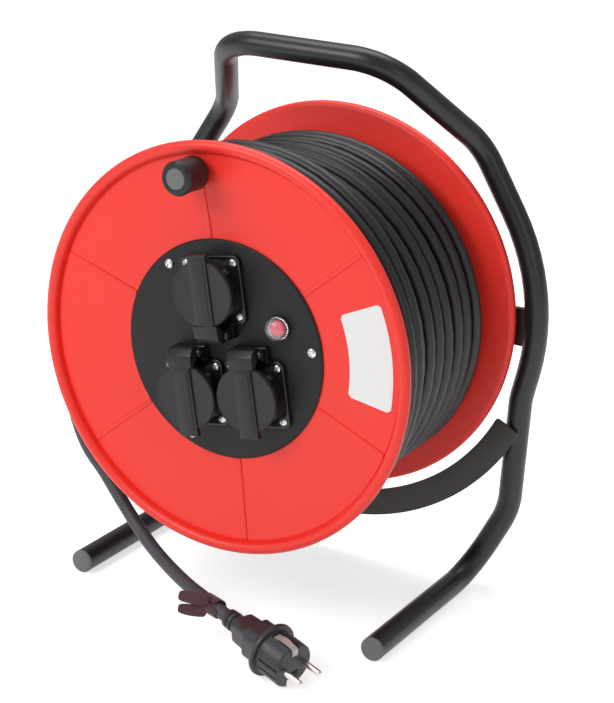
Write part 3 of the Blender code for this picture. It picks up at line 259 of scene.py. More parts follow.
# %% [markdown]
# ## Finishes
# The drum is a bright red moulding with a satin surface. The stand is painted black with a soft gloss, the
# sockets are glossy black and the lids satin black, and the cable is dark rubber. Steel parts are zinc or nickel
# plated. Each finish is its colour, the colour of its marks, a row of the six amounts named above, its relief,
# and what its shader needs besides. A row is short enough to compare one finish with the next.

# %% Plastics and paint
RED = finish_of("drum_red", (0.93, 0.035, 0.022), (0.95, 0.12, 0.09),
                (9, 0.06, 1400, 0.05, 0.4, 0.12), (0.05, 0.12))
PAINT = finish_of("stand_paint", (0.01, 0.01, 0.012), (0.04, 0.04, 0.04),
                  (14, 0.3, 700, 0.08, 0.36, 0.16), (0.06, 0.18))
GUARD_PAINT = finish_of("guard_paint", (0.05, 0.046, 0.04), (0.09, 0.085, 0.08),
                        (16, 0.3, 600, 0.15, 0.5, 0.15), (0.06, 0.2))
GLOSS = finish_of("socket_gloss", (0.007, 0.007, 0.008), (0.03, 0.03, 0.03),
                  (30, 0.2, 1300, 0.05, 0.24, 0.12), (0.04, 0.2))
MOULDING = finish_of("socket_black", (0.016, 0.016, 0.0165), (0.04, 0.04, 0.04),
                     (30, 0.35, 1500, 0.08, 0.38, 0.18), (0.08, 0.35), Specular_IOR_Level=0.35)
PANEL = finish_of("panel_black", (0.011, 0.011, 0.0115), (0.04, 0.04, 0.04),
                  (22, 0.3, 1200, 0.12, 0.5, 0.15), (0.06, 0.3), Specular_IOR_Level=0.3)
GREY = finish_of("cap_grey", (0.15, 0.16, 0.155), (0.24, 0.24, 0.24),
                 (40, 0.25, 1200, 0.2, 0.55, 0.15), (0.06, 0.3), Specular_IOR_Level=0.45)
NYLON = finish_of("nylon", (0.72, 0.7, 0.63), (0.5, 0.48, 0.42),
                  (40, 0.08, 1200, 0.15, 0.45, 0.1), (0.05, 0.2), Specular_IOR_Level=0.45)
BUTTON_RED = finish_of("button_red", (0.8, 0.02, 0.05), (0.9, 0.2, 0.2),
                       (60, 0.15, 1500, 0.05, 0.3, 0.1), (0.03, 0.1))
PAPER = finish_of("label_white", (0.86, 0.86, 0.85), (0.74, 0.74, 0.73),
                  (30, 0.04, 1600, 0.12, 0.42, 0.1), (0.03, 0.15), Specular_IOR_Level=0.4)
print("plastics and paint:", len(bpy.data.materials))

# %% Rubber, metal and fabric
CABLE = finish_of("cable_rubber", (0.01, 0.01, 0.013), (0.03, 0.03, 0.035),
                  (24, 0.35, 1100, 0.25, 0.4, 0.2), (0.12, 0.5))
# The free cord is the same rubber as the cable on the drum, painted lighter: its colour holds the light that falls on
# it in the open.
LIT_CORD_RUBBER = finish_of("cord_rubber_painted_lighter", (0.055, 0.05, 0.062), (0.1, 0.095, 0.11),
                 (40, 0.3, 1100, 0.3, 0.52, 0.2), (0.12, 0.6))
PLUG_BLACK = finish_of("plug_black", (0.03, 0.029, 0.033), (0.09, 0.085, 0.09),
                       (60, 0.35, 1300, 0.25, 0.42, 0.2), (0.1, 0.5))
ZINC = finish_of("zinc_plate", (0.66, 0.68, 0.7), (0.4, 0.42, 0.45),
                 (90, 0.3, 900, 0.25, 0.26, 0.2), (0.04, 0.25), Metallic=1.0)
NICKEL = finish_of("nickel_plate", (0.72, 0.69, 0.63), (0.4, 0.36, 0.3),
                   (80, 0.25, 900, 0.3, 0.2, 0.15), (0.03, 0.2), Metallic=1.0)
SPRING = finish_of("spring_plate", (0.5, 0.49, 0.47), (0.3, 0.28, 0.25),
                   (80, 0.25, 900, 0.3, 0.45, 0.15), (0.03, 0.2), Metallic=0.5)
TIE = finish_of("tie_pile", (0.085, 0.034, 0.037), (0.16, 0.09, 0.09),
                (90, 0.6, 900, 0.5, 0.85, 0.1), (0.5, 0.9),
                Specular_IOR_Level=0.2, Sheen_Weight=0.4, Sheen_Roughness=0.5)
BOOT = finish_of("clear_boot", (0.93, 0.95, 0.98), (0.8, 0.82, 0.85),
                 (60, 0.05, 500, 0.05, 0.08, 0.04), (0.05, 0.25), Transmission_Weight=0.92, IOR=1.42)
print("materials so far:", len(bpy.data.materials))

# %% [markdown]
# ## Shape helpers
# Most pieces of the reel are round, so they are turned from an outline. Real mouldings have no sharp corners:
# the outline states a corner radius where one is wanted, and the helper rounds it with a short arc.

# %% Outlines
ARC_STEPS = 4


def rounded(outline):
    """(x, y) or (x, y, corner radius) points, with each stated corner replaced by an arc."""
    points = []
    for k, point in enumerate(outline):
        here = Vector(point[:2])
        bend = point[2] if len(point) > 2 else 0
        if not bend:
            points.append(here)
            continue
        before = (Vector(outline[k - 1][:2]) - here).normalized()
        after = (Vector(outline[(k + 1) % len(outline)][:2]) - here).normalized()
        half = before.angle(after) / 2
        reach = bend / tan(half)
        centre = here + (before + after).normalized() * (bend / sin(half))
        first, last = here + before * reach - centre, here + after * reach - centre
        for step in range(ARC_STEPS + 1):
            share = step / ARC_STEPS
            points.append(centre + (first * (1 - share) + last * share).normalized() * bend)
    return points


print("steps in a corner:", ARC_STEPS)

# %% Objects from meshes
SHARP_DEG = 32


def shaded(mesh, sharp_deg):
    mesh.shade_smooth()
    mesh.set_sharp_from_angle(angle=radians(sharp_deg))
    return mesh


def object_from(name, edit, place=Matrix(), sharp_deg=SHARP_DEG):
    """Turns a bmesh in metres into a placed object, with its normals facing out."""
    bmesh.ops.recalc_face_normals(edit, faces=edit.faces)
    mesh = bpy.data.meshes.new(name)
    edit.to_mesh(mesh)
    edit.free()
    mesh.transform(place)
    return linked(name, shaded(mesh, sharp_deg))


def turned(name, outline, place, steps=96, closed=False):
    """Turns (radius, height) points, in millimetres, about local Z."""
    edit = bmesh.new()
    ring = [edit.verts.new((point.x * MM, 0, point.y * MM)) for point in rounded(outline)]
    edges = [edit.edges.new(pair) for pair in zip(ring, ring[1:])]
    if closed:
        edges.append(edit.edges.new((ring[-1], ring[0])))
    bmesh.ops.spin(edit, geom=ring + edges, axis=(0, 0, 1), cent=(0, 0, 0), angle=2 * pi, steps=steps,
                   use_merge=True)
    bmesh.ops.remove_doubles(edit, verts=edit.verts, dist=0.000002)
    return object_from(name, edit, place)


def facing(outline):
    """Turns distances behind the front rim's plane into heights on a solid whose top faces the front."""
    return [(point[0], -point[1], *point[2:]) for point in outline]


def plate(name, outline, front, rear, place):
    """A plate cut to an outline in x and z, from front to rear along Y, in millimetres."""
    edit = bmesh.new()
    corners = [edit.verts.new((point.x * MM, front * MM, point.y * MM)) for point in rounded(outline)]
    face = edit.faces.new(corners)
    grown = bmesh.ops.extrude_face_region(edit, geom=[face])
    moved = [item for item in grown["geom"] if isinstance(item, bmesh.types.BMVert)]
    bmesh.ops.translate(edit, vec=(0, (rear - front) * MM, 0), verts=moved)
    return object_from(name, edit, place)


def block(name, low, high, place=Matrix(), bevel=0.0):
    """A box between two corners in millimetres, with its edges rounded."""
    low, high = Vector(low) * MM, Vector(high) * MM
    edit = bmesh.new()
    bmesh.ops.create_cube(edit, size=1)
    bmesh.ops.scale(edit, vec=high - low, verts=edit.verts)
    bmesh.ops.translate(edit, vec=(low + high) / 2, verts=edit.verts)
    if bevel:
        bmesh.ops.bevel(edit, geom=edit.edges[:], offset=bevel * MM, segments=3, affect="EDGES", profile=0.5)
    return object_from(name, edit, place)


print("mesh helpers ready, sharp above", SHARP_DEG, "degrees")


# %% Joining, cutting and softening
def settled(obj, sharp_deg=SHARP_DEG):
    """Applies what is on the object, and shades the result."""
    bpy.context.view_layer.update()
    graph = bpy.context.evaluated_depsgraph_get()
    mesh = bpy.data.meshes.new_from_object(obj.evaluated_get(graph))
    obj.modifiers.clear()
    obj.data = shaded(mesh, sharp_deg)
    return obj


def combined(obj, others, operation, sharp_deg=SHARP_DEG):
    """Adds or cuts the other meshes, which are then deleted."""
    for other in others:
        modifier = obj.modifiers.new(operation.lower(), "BOOLEAN")
        modifier.operation = operation
        modifier.object = other
        modifier.solver = "EXACT"
    settled(obj, sharp_deg)
    for other in others:
        bpy.data.objects.remove(other)
    return obj


def softened(obj, width, segments=2, limit_deg=40):
    """Rounds the hard edges by a small bevel."""
    modifier = obj.modifiers.new("soft_edges", "BEVEL")
    modifier.width = width * MM
    modifier.segments = segments
    modifier.limit_method = "ANGLE"
    modifier.angle_limit = radians(limit_deg)
    modifier.use_clamp_overlap = True
    return settled(obj)


def merged(name, pieces, sharp_deg=SHARP_DEG):
    """One object from several that only touch or sink into each other."""
    edit = bmesh.new()
    for piece in pieces:
        edit.from_mesh(piece.data)
        bpy.data.objects.remove(piece)
    mesh = bpy.data.meshes.new(name)
    edit.to_mesh(mesh)
    edit.free()
    return linked(name, shaded(mesh, sharp_deg))


def dress(obj, body, finish, slot, *replaced):
    """Gives the piece its finish and its body, and hides the CAD nodes it stands for; slot is not used."""
    obj.data.materials.clear()
    obj.data.materials.append(finish)
    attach(obj, body)
    if replaced:
        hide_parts(*replaced)
    return obj


print("joining helpers ready")


# %% Tubes
def tube(name, points, radius, resolution=6):
    """A round tube along points in metres."""
    curve = bpy.data.curves.new(name, "CURVE")
    curve.dimensions = "3D"
    spline = curve.splines.new("POLY")
    spline.points.add(len(points) - 1)
    for point, place in zip(spline.points, points):
        point.co = (*place, 1)
    spline.use_smooth = True
    curve.bevel_depth = radius * MM
    curve.bevel_resolution = resolution
    curve.use_fill_caps = True
    return linked(name, curve)


def smooth_path(route, spacing):
    """Evenly spread points on a smooth curve through the route."""
    ends = [2 * route[0] - route[1], *route, 2 * route[-1] - route[-2]]
    path = []
    for before, start, end, after in zip(ends, ends[1:], ends[2:], ends[3:]):
        steps = max(1, round((end - start).length / spacing))
        for k in range(steps):
            t = k / steps
            path.append(0.5 * (2 * start + (end - before) * t + (2 * before - 5 * start + 4 * end - after) * t**2
                               + (3 * start - before - 3 * end + after) * t**3))
    return path + [route[-1]]


print("tube helpers ready")

# %% [markdown]
# ## Cable on the drum
# The cable is hand wound: its turns wander, lie loosely and climb onto their neighbours, and the last three lie on
# top. One unbroken helix runs from the rear flange to the front one and comes back over itself. Where two turns
# come too near, the later one is lifted just enough to rest on the earlier one, which is how real turns stack.

# %% The outer layer's path
CABLE_RADIUS = 5.35
COIL_RADIUS = 135.65
TURNS = 11.86
FIRST_LANE = 14.24
SECOND_LANE = FIRST_LANE + 0.2
LIFT_OFF_DEG = 75
LIFT = 2 * CABLE_RADIUS + 0.2
HIGHEST_TURN = 149.4
LOOSE = 3.4
LOOSEST_AT = 0.22
FRONT_REACHED = 3.0
POINTS_PER_TURN = 48
SMOOTHINGS = 8
WANDERS = ((2.9, 0.93, 0.6), (2.1, 1.37, 2.0), (1.6, 0.41, 0))
TOP_LANES = ((0, FIRST_LANE), (0.12, 15.2), (0.25, 17.5), (0.5, 15), (0.8, 15.6), (0.9, 19), (1.0, 24.5),
             (1.25, 29.5), (1.5, 26), (1.8, 27.5), (1.9, 32), (2.0, 39.5), (2.25, 42), (2.5, 37.5), (2.8, 36),
             (2.9, 26), (FRONT_REACHED, SECOND_LANE))


def lane(left):
    """Depth of the cable when this many turns are left: the lower turns wander, the last three lie on top."""
    if left < FRONT_REACHED:
        for (low, first), (high, last) in zip(TOP_LANES, TOP_LANES[1:]):
            if left <= high:
                share = (left - low) / (high - low)
                return first + (last - first) * share * share * (3 - 2 * share)
    rest = left - FRONT_REACHED
    fade = min(1, rest, (TURNS - left) / 0.8)
    angle = 2 * pi * left
    wave = sum(size * sin(pace * angle + start) for size, pace, start in WANDERS)
    return SECOND_LANE + rest * (RIM_SPACING - 2 * FIRST_LANE) / (TURNS - FRONT_REACHED) + fade * wave


def winding_path():
    count = round(TURNS * POINTS_PER_TURN)
    depths, radii, points = [], [], []
    for k in range(count + 1):
        left = TURNS * (1 - k / count)
        share = max(0, 1 - left * 360 / LIFT_OFF_DEG)
        radius = COIL_RADIUS + LIFT * share * share * (3 - 2 * share)
        depth = lane(left)
        for before in range(k - POINTS_PER_TURN, -1, -POINTS_PER_TURN):
            gap = abs(depths[before] - depth)
            if gap < 2 * CABLE_RADIUS:
                radius = max(radius, radii[before] + (4 * CABLE_RADIUS**2 - gap * gap) ** 0.5)
        if left < FRONT_REACHED:
            radius += LOOSE * max(0, cos(2 * pi * (left - LOOSEST_AT))) ** 3 * min(1, left)
        depths.append(depth)
        radii.append(min(radius, HIGHEST_TURN))
    for _ in range(SMOOTHINGS):
        radii = [radii[0]] + [max(here, (before + after) / 2) for before, here, after in
                              zip(radii, radii[1:], radii[2:])] + [radii[-1]]
    for k in range(count + 1):
        left = TURNS * (1 - k / count)
        x, z = polar(radii[k], 180 - 360 * left)
        points.append(at(x, depths[k], AXLE_HEIGHT + z))
    print("winding radius", round(min(radii), 1), "to", round(max(radii), 1), "mm")
    return points + [points[-1] - Vector((0, 0, 2 * CABLE_RADIUS + 0.3)) * MM]


WINDING = winding_path()
dress(tube("cable_outer_turns", WINDING, CABLE_RADIUS, 5), "drum", CABLE, "cable_rubber", "winding_outer_layer")

# %% [markdown]
# Between the outer turns the next layer down shows as dark stripes. A tighter helix just below fills the gaps;
# its turns lie in the grooves of the layer above.

# %% The layer below
UNDER_RADIUS = COIL_RADIUS - 1.62 * CABLE_RADIUS
UNDER_TURNS = 14.2
UNDER_LANE = 13.2
UNDER_START_DEG = 40


def under_layer_path():
    count = round(UNDER_TURNS * 36)
    low, high = UNDER_LANE, RIM_SPACING - UNDER_LANE
    points = []
    for k in range(count + 1):
        x, z = polar(UNDER_RADIUS, 360 * UNDER_TURNS * k / count + UNDER_START_DEG)
        points.append(at(x, low + (high - low) * k / count, AXLE_HEIGHT + z))
    return points


under_turns = tube("cable_under_turns", under_layer_path(), CABLE_RADIUS, 3)
dress(under_turns, "drum", CABLE, "cable_rubber", "winding_core")
print("layer below at radius", round(UNDER_RADIUS, 1), "mm")

# %% [markdown]
# ## The free cord
# The end of the cable runs off the drum on the left, drops beside the stand and swings across the floor in front
# of it. It is one curve through listed points, with straight runs where it leaves the winding and where it
# enters the plug, because rubber cable this stiff never kinks there.

# %% Where the plug lies
PLUG_HEADING, PLUG_TILT, PLUG_ROLL = radians(-15.5), radians(9.8), radians(6)
PLUG = (Matrix.Translation(at(82.4, -52.8, 22.27)) @ Matrix.Rotation(PLUG_HEADING, 4, "Z")
        @ Matrix.Rotation(PLUG_TILT, 4, "Y") @ Matrix.Rotation(PLUG_ROLL, 4, "X"))
NECK_END, NOSE_END = -46.3, 26
print("plug axis", [round(v, 3) for v in PLUG.to_3x3() @ Vector((1, 0, 0))])

# %% The cord's curve
CORD_POINTS = (
    (-149, 14.5, 172), (-145.5, 15, 140), (-134, 16, 111), (-116, 15.5, 91.5), (-97.5, 11.8, 73.8),
    (-78.5, 6, 59.3), (-57, -2.5, 48), (-34, -12, 40.5), (-11, -21.5, 35.8), (8, -29, 33.8),
)
CORD_START = WINDING[-1] - Vector((0, 0, 0.3)) * MM
cord_route = [CORD_START, CORD_START - Vector((0, 0, 14)) * MM, *(at(*point) for point in CORD_POINTS),
              *(PLUG @ (Vector((along, 0, 0)) * MM) for along in (NECK_END - 14, NECK_END))]
cord_path = smooth_path(cord_route, 5 * MM)
free_cord = dress(tube("loose_cable", cord_path, CABLE_RADIUS), "frame", LIT_CORD_RUBBER, "cable_rubber", "free_cord")
print("cord", round(sum((b - a).length for a, b in zip(cord_path, cord_path[1:])) * 1000), "mm long")

# %% [markdown]
# ## The plug
# An earthed rubber plug: a ribbed neck, a squarish grip with a shoulder and a lobe for the clamp screw, a thick
# finger ring and a round nose with guide grooves. The grip is lofted from rounded squares, the round parts are
# turned, and the earth slots and the notch between the pins are cut last.

# %% Lofting
LOFT_SIDES = 40
PLUG_SHARP_DEG = 38


def lofted(name, sections, place):
    """Rings of (along X, half width, half height, squareness, drop) joined into one closed form."""
    edit = bmesh.new()
    rings = []
    for along, half_width, half_height, squareness, drop in sections:
        ring = []
        for k in range(LOFT_SIDES):
            a, b = cos(2 * pi * k / LOFT_SIDES), sin(2 * pi * k / LOFT_SIDES)
            size = (abs(a) ** squareness + abs(b) ** squareness) ** (-1 / squareness)
            ring.append(edit.verts.new(Vector((along, a * size * half_width, b * size * half_height - drop)) * MM))
        rings.append(ring)
    for first, second in zip(rings, rings[1:]):
        for k in range(LOFT_SIDES):
            after = (k + 1) % LOFT_SIDES
            edit.faces.new((first[k], first[after], second[after], second[k]))
    edit.faces.new(rings[0])
    edit.faces.new(rings[-1])
    return object_from(name, edit, place, PLUG_SHARP_DEG)


print("sides of a lofted form:", LOFT_SIDES)


# %% The plug's body
def make_plug_body():
    neck = [(0, -46), (7.2, -46, 0.8), (7.6, -42.8)]
    for start in (-42.4, -37.6):
        neck += [(7.6, start, 0.4), (6.3, start + 0.4, 0.4), (6.3, start + 2.2, 0.4), (7.9, start + 2.6, 0.4)]
    neck += [(8.2, -31), (8.2, -28), (0, -28)]
    ring = [(0, -1), (16, -1), (20.6, -0.4, 1.2), (21.6, 1.6, 1), (21.2, 4.2, 0.7), (17.9, 4.2), (17.8, 24.9, 0.6),
            (16.8, NOSE_END, 0.5), (0, NOSE_END)]
    grip = lofted("plug_grip", [(-32, 8, 8, 2.6, 0), (-31.4, 9.4, 9.4, 3.4, 0), (-30, 10.2, 10, 4.5, 0),
                                (-17.4, 10.8, 10.4, 5, 0), (-16.8, 12.2, 12, 5, 0), (-15.8, 13.3, 13.1, 4.5, 0),
                                (-5, 13.8, 13.6, 4, 0), (-1.5, 14.8, 14.6, 2.8, 0), (1.5, 17, 17, 2.1, 0)], PLUG)
    lobe = lofted("plug_lobe", [(-25, 4.4, 3, 3, 9.4), (-24, 5.6, 4.6, 3.4, 9.6), (-13, 6.4, 5.4, 3.4, 9.8),
                                (-11.6, 5.4, 4.2, 3, 9.6)], PLUG)
    body = turned("plug_shell", ring, PLUG @ ALONG_X, 72)
    neck_shell = turned("plug_neck", neck, PLUG @ ALONG_X, 48)
    return combined(body, [neck_shell, grip, lobe], "UNION", PLUG_SHARP_DEG)


plug = make_plug_body()
slots = []
for side in (1, -1):
    slots.append(block("earth_slot", (5.6, -4.5, side * 18 - 3.2), (40, 4.5, side * 18 + 3.2), PLUG))
    for low, high in ((-4.6, -2.4), (2.4, 4.6)):
        slots.append(block("guide_groove", (7.5, side * 17.8 - 1.3, low), (40, side * 17.8 + 1.3, high), PLUG))
slots.append(block("nose_notch", (12, -5.2, -20), (40, 5.2, -4.4), PLUG))
plug = combined(plug, slots, "DIFFERENCE", PLUG_SHARP_DEG)
dress(softened(plug, 0.3, 2, 50), "frame", PLUG_BLACK, "black_plastic", "plug_body")
print("plug body faces:", len(plug.data.polygons))

# %% Pins and earth clips
PIN_PLACE = 9.5
EDGE_SHARE = 0.94


def ribbon(name, points, widths, thickness, across, place):
    """A flat strip along points, as wide as each entry of widths, lying along the direction across."""
    across = Vector(across).normalized()
    edit = bmesh.new()
    rings = []
    for k, point in enumerate(points):
        ahead = Vector(points[min(k + 1, len(points) - 1)]) - Vector(points[max(k - 1, 0)])
        side = (across - across.project(ahead)).normalized()
        lift = ahead.cross(side).normalized() * thickness / 2
        half = side * widths[k] / 2
        flat = half * EDGE_SHARE
        corners = (flat + lift, half, flat - lift, -flat - lift, -half, -flat + lift)
        rings.append([edit.verts.new((Vector(point) + corner) * MM) for corner in corners])
    for first, second in zip(rings, rings[1:]):
        for k in range(6):
            edit.faces.new((first[k], first[(k + 1) % 6], second[(k + 1) % 6], second[k]))
    edit.faces.new(rings[0])
    edit.faces.new(rings[-1])
    return object_from(name, edit, place, 40)


for side, label in ((-1, "left"), (1, "right")):
    pin = [(0, NOSE_END - 1), (2.4, NOSE_END - 1), (2.4, 43.2), (2.25, 44.3), (1.7, 45), (0.9, 45.3), (0, 45.35)]
    spot = PLUG @ shift(0, side * PIN_PLACE, 0) @ ALONG_X
    dress(turned(f"contact_pin_{label}", pin, spot, 40), "frame", NICKEL, "nickel_plate",
                         f"plug_pin_{label}")
for side, label in ((1, "upper"), (-1, "lower")):
    bow = [(6.4, 15.6), (9, 15.8), (13, 16.9), (17, 17.1), (21, 16.4), (25.4, 15.6), (26.3, 15.1), (26.5, 14)]
    bow = bow + [(26.5, 10.2)] if side > 0 else bow[:5]
    strip = [(along, 0, side * height) for along, height in bow]
    widths = [6.2 if k < 4 else 5.4 for k in range(len(strip))]
    dress(ribbon(f"earth_spring_{label}", strip, widths, 0.9, (0, 1, 0), PLUG), "frame", SPRING,
                         "nickel_plate", f"plug_earth_clip_{label}")

# %% [markdown]
# ## The cord's tie
# A strip of hook-and-loop tape holds the plug to the coil in transport. Here it hangs round the cord just behind
# the plug with its two ends loose. Three flat strips make it: one round the cord and one for each end. The ends
# lie flat towards where the camera stands, as they do in the photograph, and stay so from every other side.

# %% The tie
TIE_PLACE = PLUG @ shift(-62, 0, 0)
TAPE, WRAP_STEPS, WRAP_RADIUS = 1.3, 16, 6.9
TO_VIEWER = PLUG.to_3x3().inverted() @ CAMERA_PLACE.normalized()


def make_tie():
    upper = [(-24.5, -15.4, 3.2), (-22.8, -14.8, 3.6), (-16, -12.2, 5), (-9, -9, 6.2), (-1, -4.6, 7.3)]
    round_cord = []
    for k in range(WRAP_STEPS + 1):
        angle = radians(118 - 345 * k / WRAP_STEPS)
        round_cord.append((-4 + 6 * k / WRAP_STEPS, WRAP_RADIUS * cos(angle), WRAP_RADIUS * sin(angle)))
    lower = [(0, -7.2, -1), (-7, -10, -3.6), (-14, -13, -5.6), (-21.4, -16, -7.2), (-23, -16.6, -7.5)]
    tape = ribbon("tie_upper_end", upper, [5, 8.4, 9.8, 10, 10], TAPE,
                  TO_VIEWER.cross(Vector(upper[0]) - Vector(upper[-1])), TIE_PLACE)
    wrap = ribbon("tie_wrap", round_cord, [14] * len(round_cord), TAPE, (1, 0.12, 0), TIE_PLACE)
    end = ribbon("tie_lower_end", lower, [9.4, 9.4, 9.2, 7.6, 4.6], TAPE,
                 TO_VIEWER.cross(Vector(lower[-1]) - Vector(lower[0])), TIE_PLACE)
    tie = merged("cord_tie", [tape, wrap, end], 50)
    smooth = tie.modifiers.new("smooth", "SUBSURF")
    smooth.levels = smooth.render_levels = 2
    return settled(tie, 50)


tie = dress(make_tie(), "frame", TIE, "tie_fabric", "cable_tie")

# %% [markdown]
# ## The drum's flanges
# Both flanges are one moulding each: a shallow dished web with six thin ribs, ending in a round bead with a fine
# groove inside it. The section is turned, which gives the dish, the groove and the bead in one surface, and the
# ribs are joined to it.

# %% Flange section
WEB_SEAT, WEB_EDGE, WEB_REACH = 87.8, 149.4, 150
WEB_FRONT, WEB_REAR, DISH = 6.8, 10, 5
BEAD_PLACE, BEAD_RADIUS = 155.5, 4.5
RIM_STEPS = 192


def web_front(radius):
    """How far the web's face lies behind the rim's plane."""
    share = max(0, (radius - WEB_SEAT) / (WEB_REACH - WEB_SEAT))
    return WEB_FRONT - DISH * share


def rim_section():
    bead = [(BEAD_PLACE + BEAD_RADIUS * cos(radians(angle)), -BEAD_RADIUS * sin(radians(angle)))
            for angle in range(190, -91, -14)]
    front = [(WEB_SEAT, WEB_FRONT, 2), (WEB_EDGE, web_front(WEB_EDGE), 0.2), (WEB_EDGE + 0.5, 2.5), (150.9, 2.6)]
    return [*front, *bead, (150.4, 5.1, 1), (WEB_SEAT, WEB_REAR, 2)]


def make_ribs(place, first_deg):
    ribs = []
    side = facing([(86, 5.9), (WEB_EDGE, web_front(WEB_EDGE) - 1, 0.8), (WEB_EDGE, 3.4), (86, 8)])
    for k in range(6):
        spot = place @ Matrix.Rotation(radians(first_deg + 60 * k), 4, "Z")
        ribs.append(softened(plate("rib", side, -1.8, 1.8, spot), 0.5, 2))
    return merged("ribs", ribs)


FRONT = DRUM @ TO_FRONT
REAR = Matrix.Translation(at(0, RIM_SPACING, AXLE_HEIGHT)) @ TO_REAR
opening = [(71.5, WEB_FRONT, 0.4), *rim_section(), (71.5, WEB_REAR, 0.4)]
front_rim = turned("front_rim", facing(opening), FRONT, RIM_STEPS, True)
dress(combined(front_rim, [make_ribs(FRONT, 100)], "UNION"), "drum", RED, "red_plastic", "front_flange")
hub = [(12.3, WEB_FRONT, 0.5), *rim_section(), (21.3, WEB_REAR, 1.5), (21.3, 22.8, 0.8), (12.3, 22.8, 0.5)]
rear_rim = turned("rear_rim", facing(hub), REAR, RIM_STEPS, True)
dress(combined(rear_rim, [make_ribs(REAR, -100)], "UNION"), "drum", RED, "red_plastic", "rear_flange")
print("flange faces:", len(front_rim.data.polygons), len(rear_rim.data.polygons))

# %% [markdown]
# ## The cover disc
# The disc closes the drum's open front and carries the sockets. It is turned with a soft chamfered edge, then
# cut where the sockets and the thermal cut-out pass through.

# %% The disc
PANEL_PLACE = DRUM @ Matrix.Rotation(radians(-10.2), 4, "Y")
SOCKETS = (("top", 0, 47.5, True), ("left", -27, -32.3, False), ("right", 27, -32.3, False))
BUTTON_PLACE = PANEL_PLACE @ shift(52, 0, 18.5) @ TO_FRONT

disc = turned("panel_disc", facing([(0, 4.6), (83.9, 4.6, 0.8), (85.3, 5.7, 0.4), (85.3, 6.5, 0.3), (0, 6.5)]),
              PANEL_PLACE @ TO_FRONT, 160)
wells = [turned("well", facing([(0, 0), (21.9, 0), (21.9, 12), (0, 12)]), PANEL_PLACE @ shift(x, 0, z) @ TO_FRONT, 48)
         for _, x, z, _ in SOCKETS]
wells.append(turned("button_well", facing([(0, 0), (8.2, 0), (8.2, 12), (0, 12)]), BUTTON_PLACE, 32))
dress(combined(disc, wells, "DIFFERENCE"), "drum", PANEL, "black_plastic", "cover_disc")
print("disc faces:", len(disc.data.polygons))

# %% [markdown]
# ## Screws
# Pan-head screws with a cross recess hold the sockets and the disc. One head is made carefully, with the recess
# cut into it, and every other screw is a copy of its mesh at another place and size.

# %% Screw heads
def make_screw_head():
    """A head of radius 1, resting on z = 0."""
    outline = [(0, -1.5), (0.45, -1.5), (0.45, 0), (1, 0, 0.08), (0.99, 0.22), (0.86, 0.4), (0.62, 0.52),
               (0.3, 0.57), (0, 0.58)]
    head = turned("screw_head", outline, Matrix(), 40)
    cuts = [block("recess", (-0.62, -0.12, 0.2), (0.62, 0.12, 2)),
            block("recess", (-0.12, -0.62, 0.2), (0.12, 0.62, 2)),
            block("recess", (-0.24, -0.24, 0.25), (0.24, 0.24, 2), Matrix.Rotation(pi / 4, 4, "Z"))]
    return combined(head, cuts, "DIFFERENCE")


screw_head = make_screw_head()
head_mesh = screw_head.data
bpy.data.objects.remove(screw_head)


def place_screw(name, node, place, radius, turn_deg):
    mesh = head_mesh.copy()
    mesh.transform(place @ Matrix.Rotation(radians(turn_deg), 4, "Z") @ Matrix.Scale(radius, 4))
    return dress(linked(name, mesh), "drum", ZINC, "zinc_plate", node)


screws = []
for label, x, z, _ in SOCKETS:
    for k, (dx, dz) in enumerate(((-20.5, -20.5), (20.5, -20.5), (-20.5, 20.5), (20.5, 20.5))):
        place = PANEL_PLACE @ Matrix.Translation(Vector((x + dx, 1.2, z + dz)) * MM) @ TO_FRONT
        number = f"{label}_{k + 1}"
        screws.append(place_screw(f"screw_{number}", f"socket_screw_{number}", place, 3.1, 37 * k + 20))
for k in range(3):
    x, z = polar(77, 120 * k)
    place = PANEL_PLACE @ Matrix.Translation(Vector((x, 4.7, z)) * MM) @ TO_FRONT
    screws.append(place_screw(f"disc_screw_{k + 1}", f"panel_screw_{k + 1}", place, 3.8, 50 * k + 10))
print("screws:", len(screws))

# %% [markdown]
# ## Sockets and lids
# Each socket is a square plate with a raised border, a round collar with a deep cup, and two ears that carry a
# lid. The lid is a round cap whose strap runs from a finger tab, across the face, to a hood round the hinge. One
# function builds a socket in its own frame with the hinge at the top; the upper one is placed upside down.

# %% Socket parts
def rounded_square(half, corner):
    return [(-half, -half, corner), (half, -half, corner), (half, half, corner), (-half, half, corner)]


SIDE = Matrix(((0, -1, 0, 0), (0, 0, -1, 0), (1, 0, 0, 0), (0, 0, 0, 1)))
HINGE_Z = 33


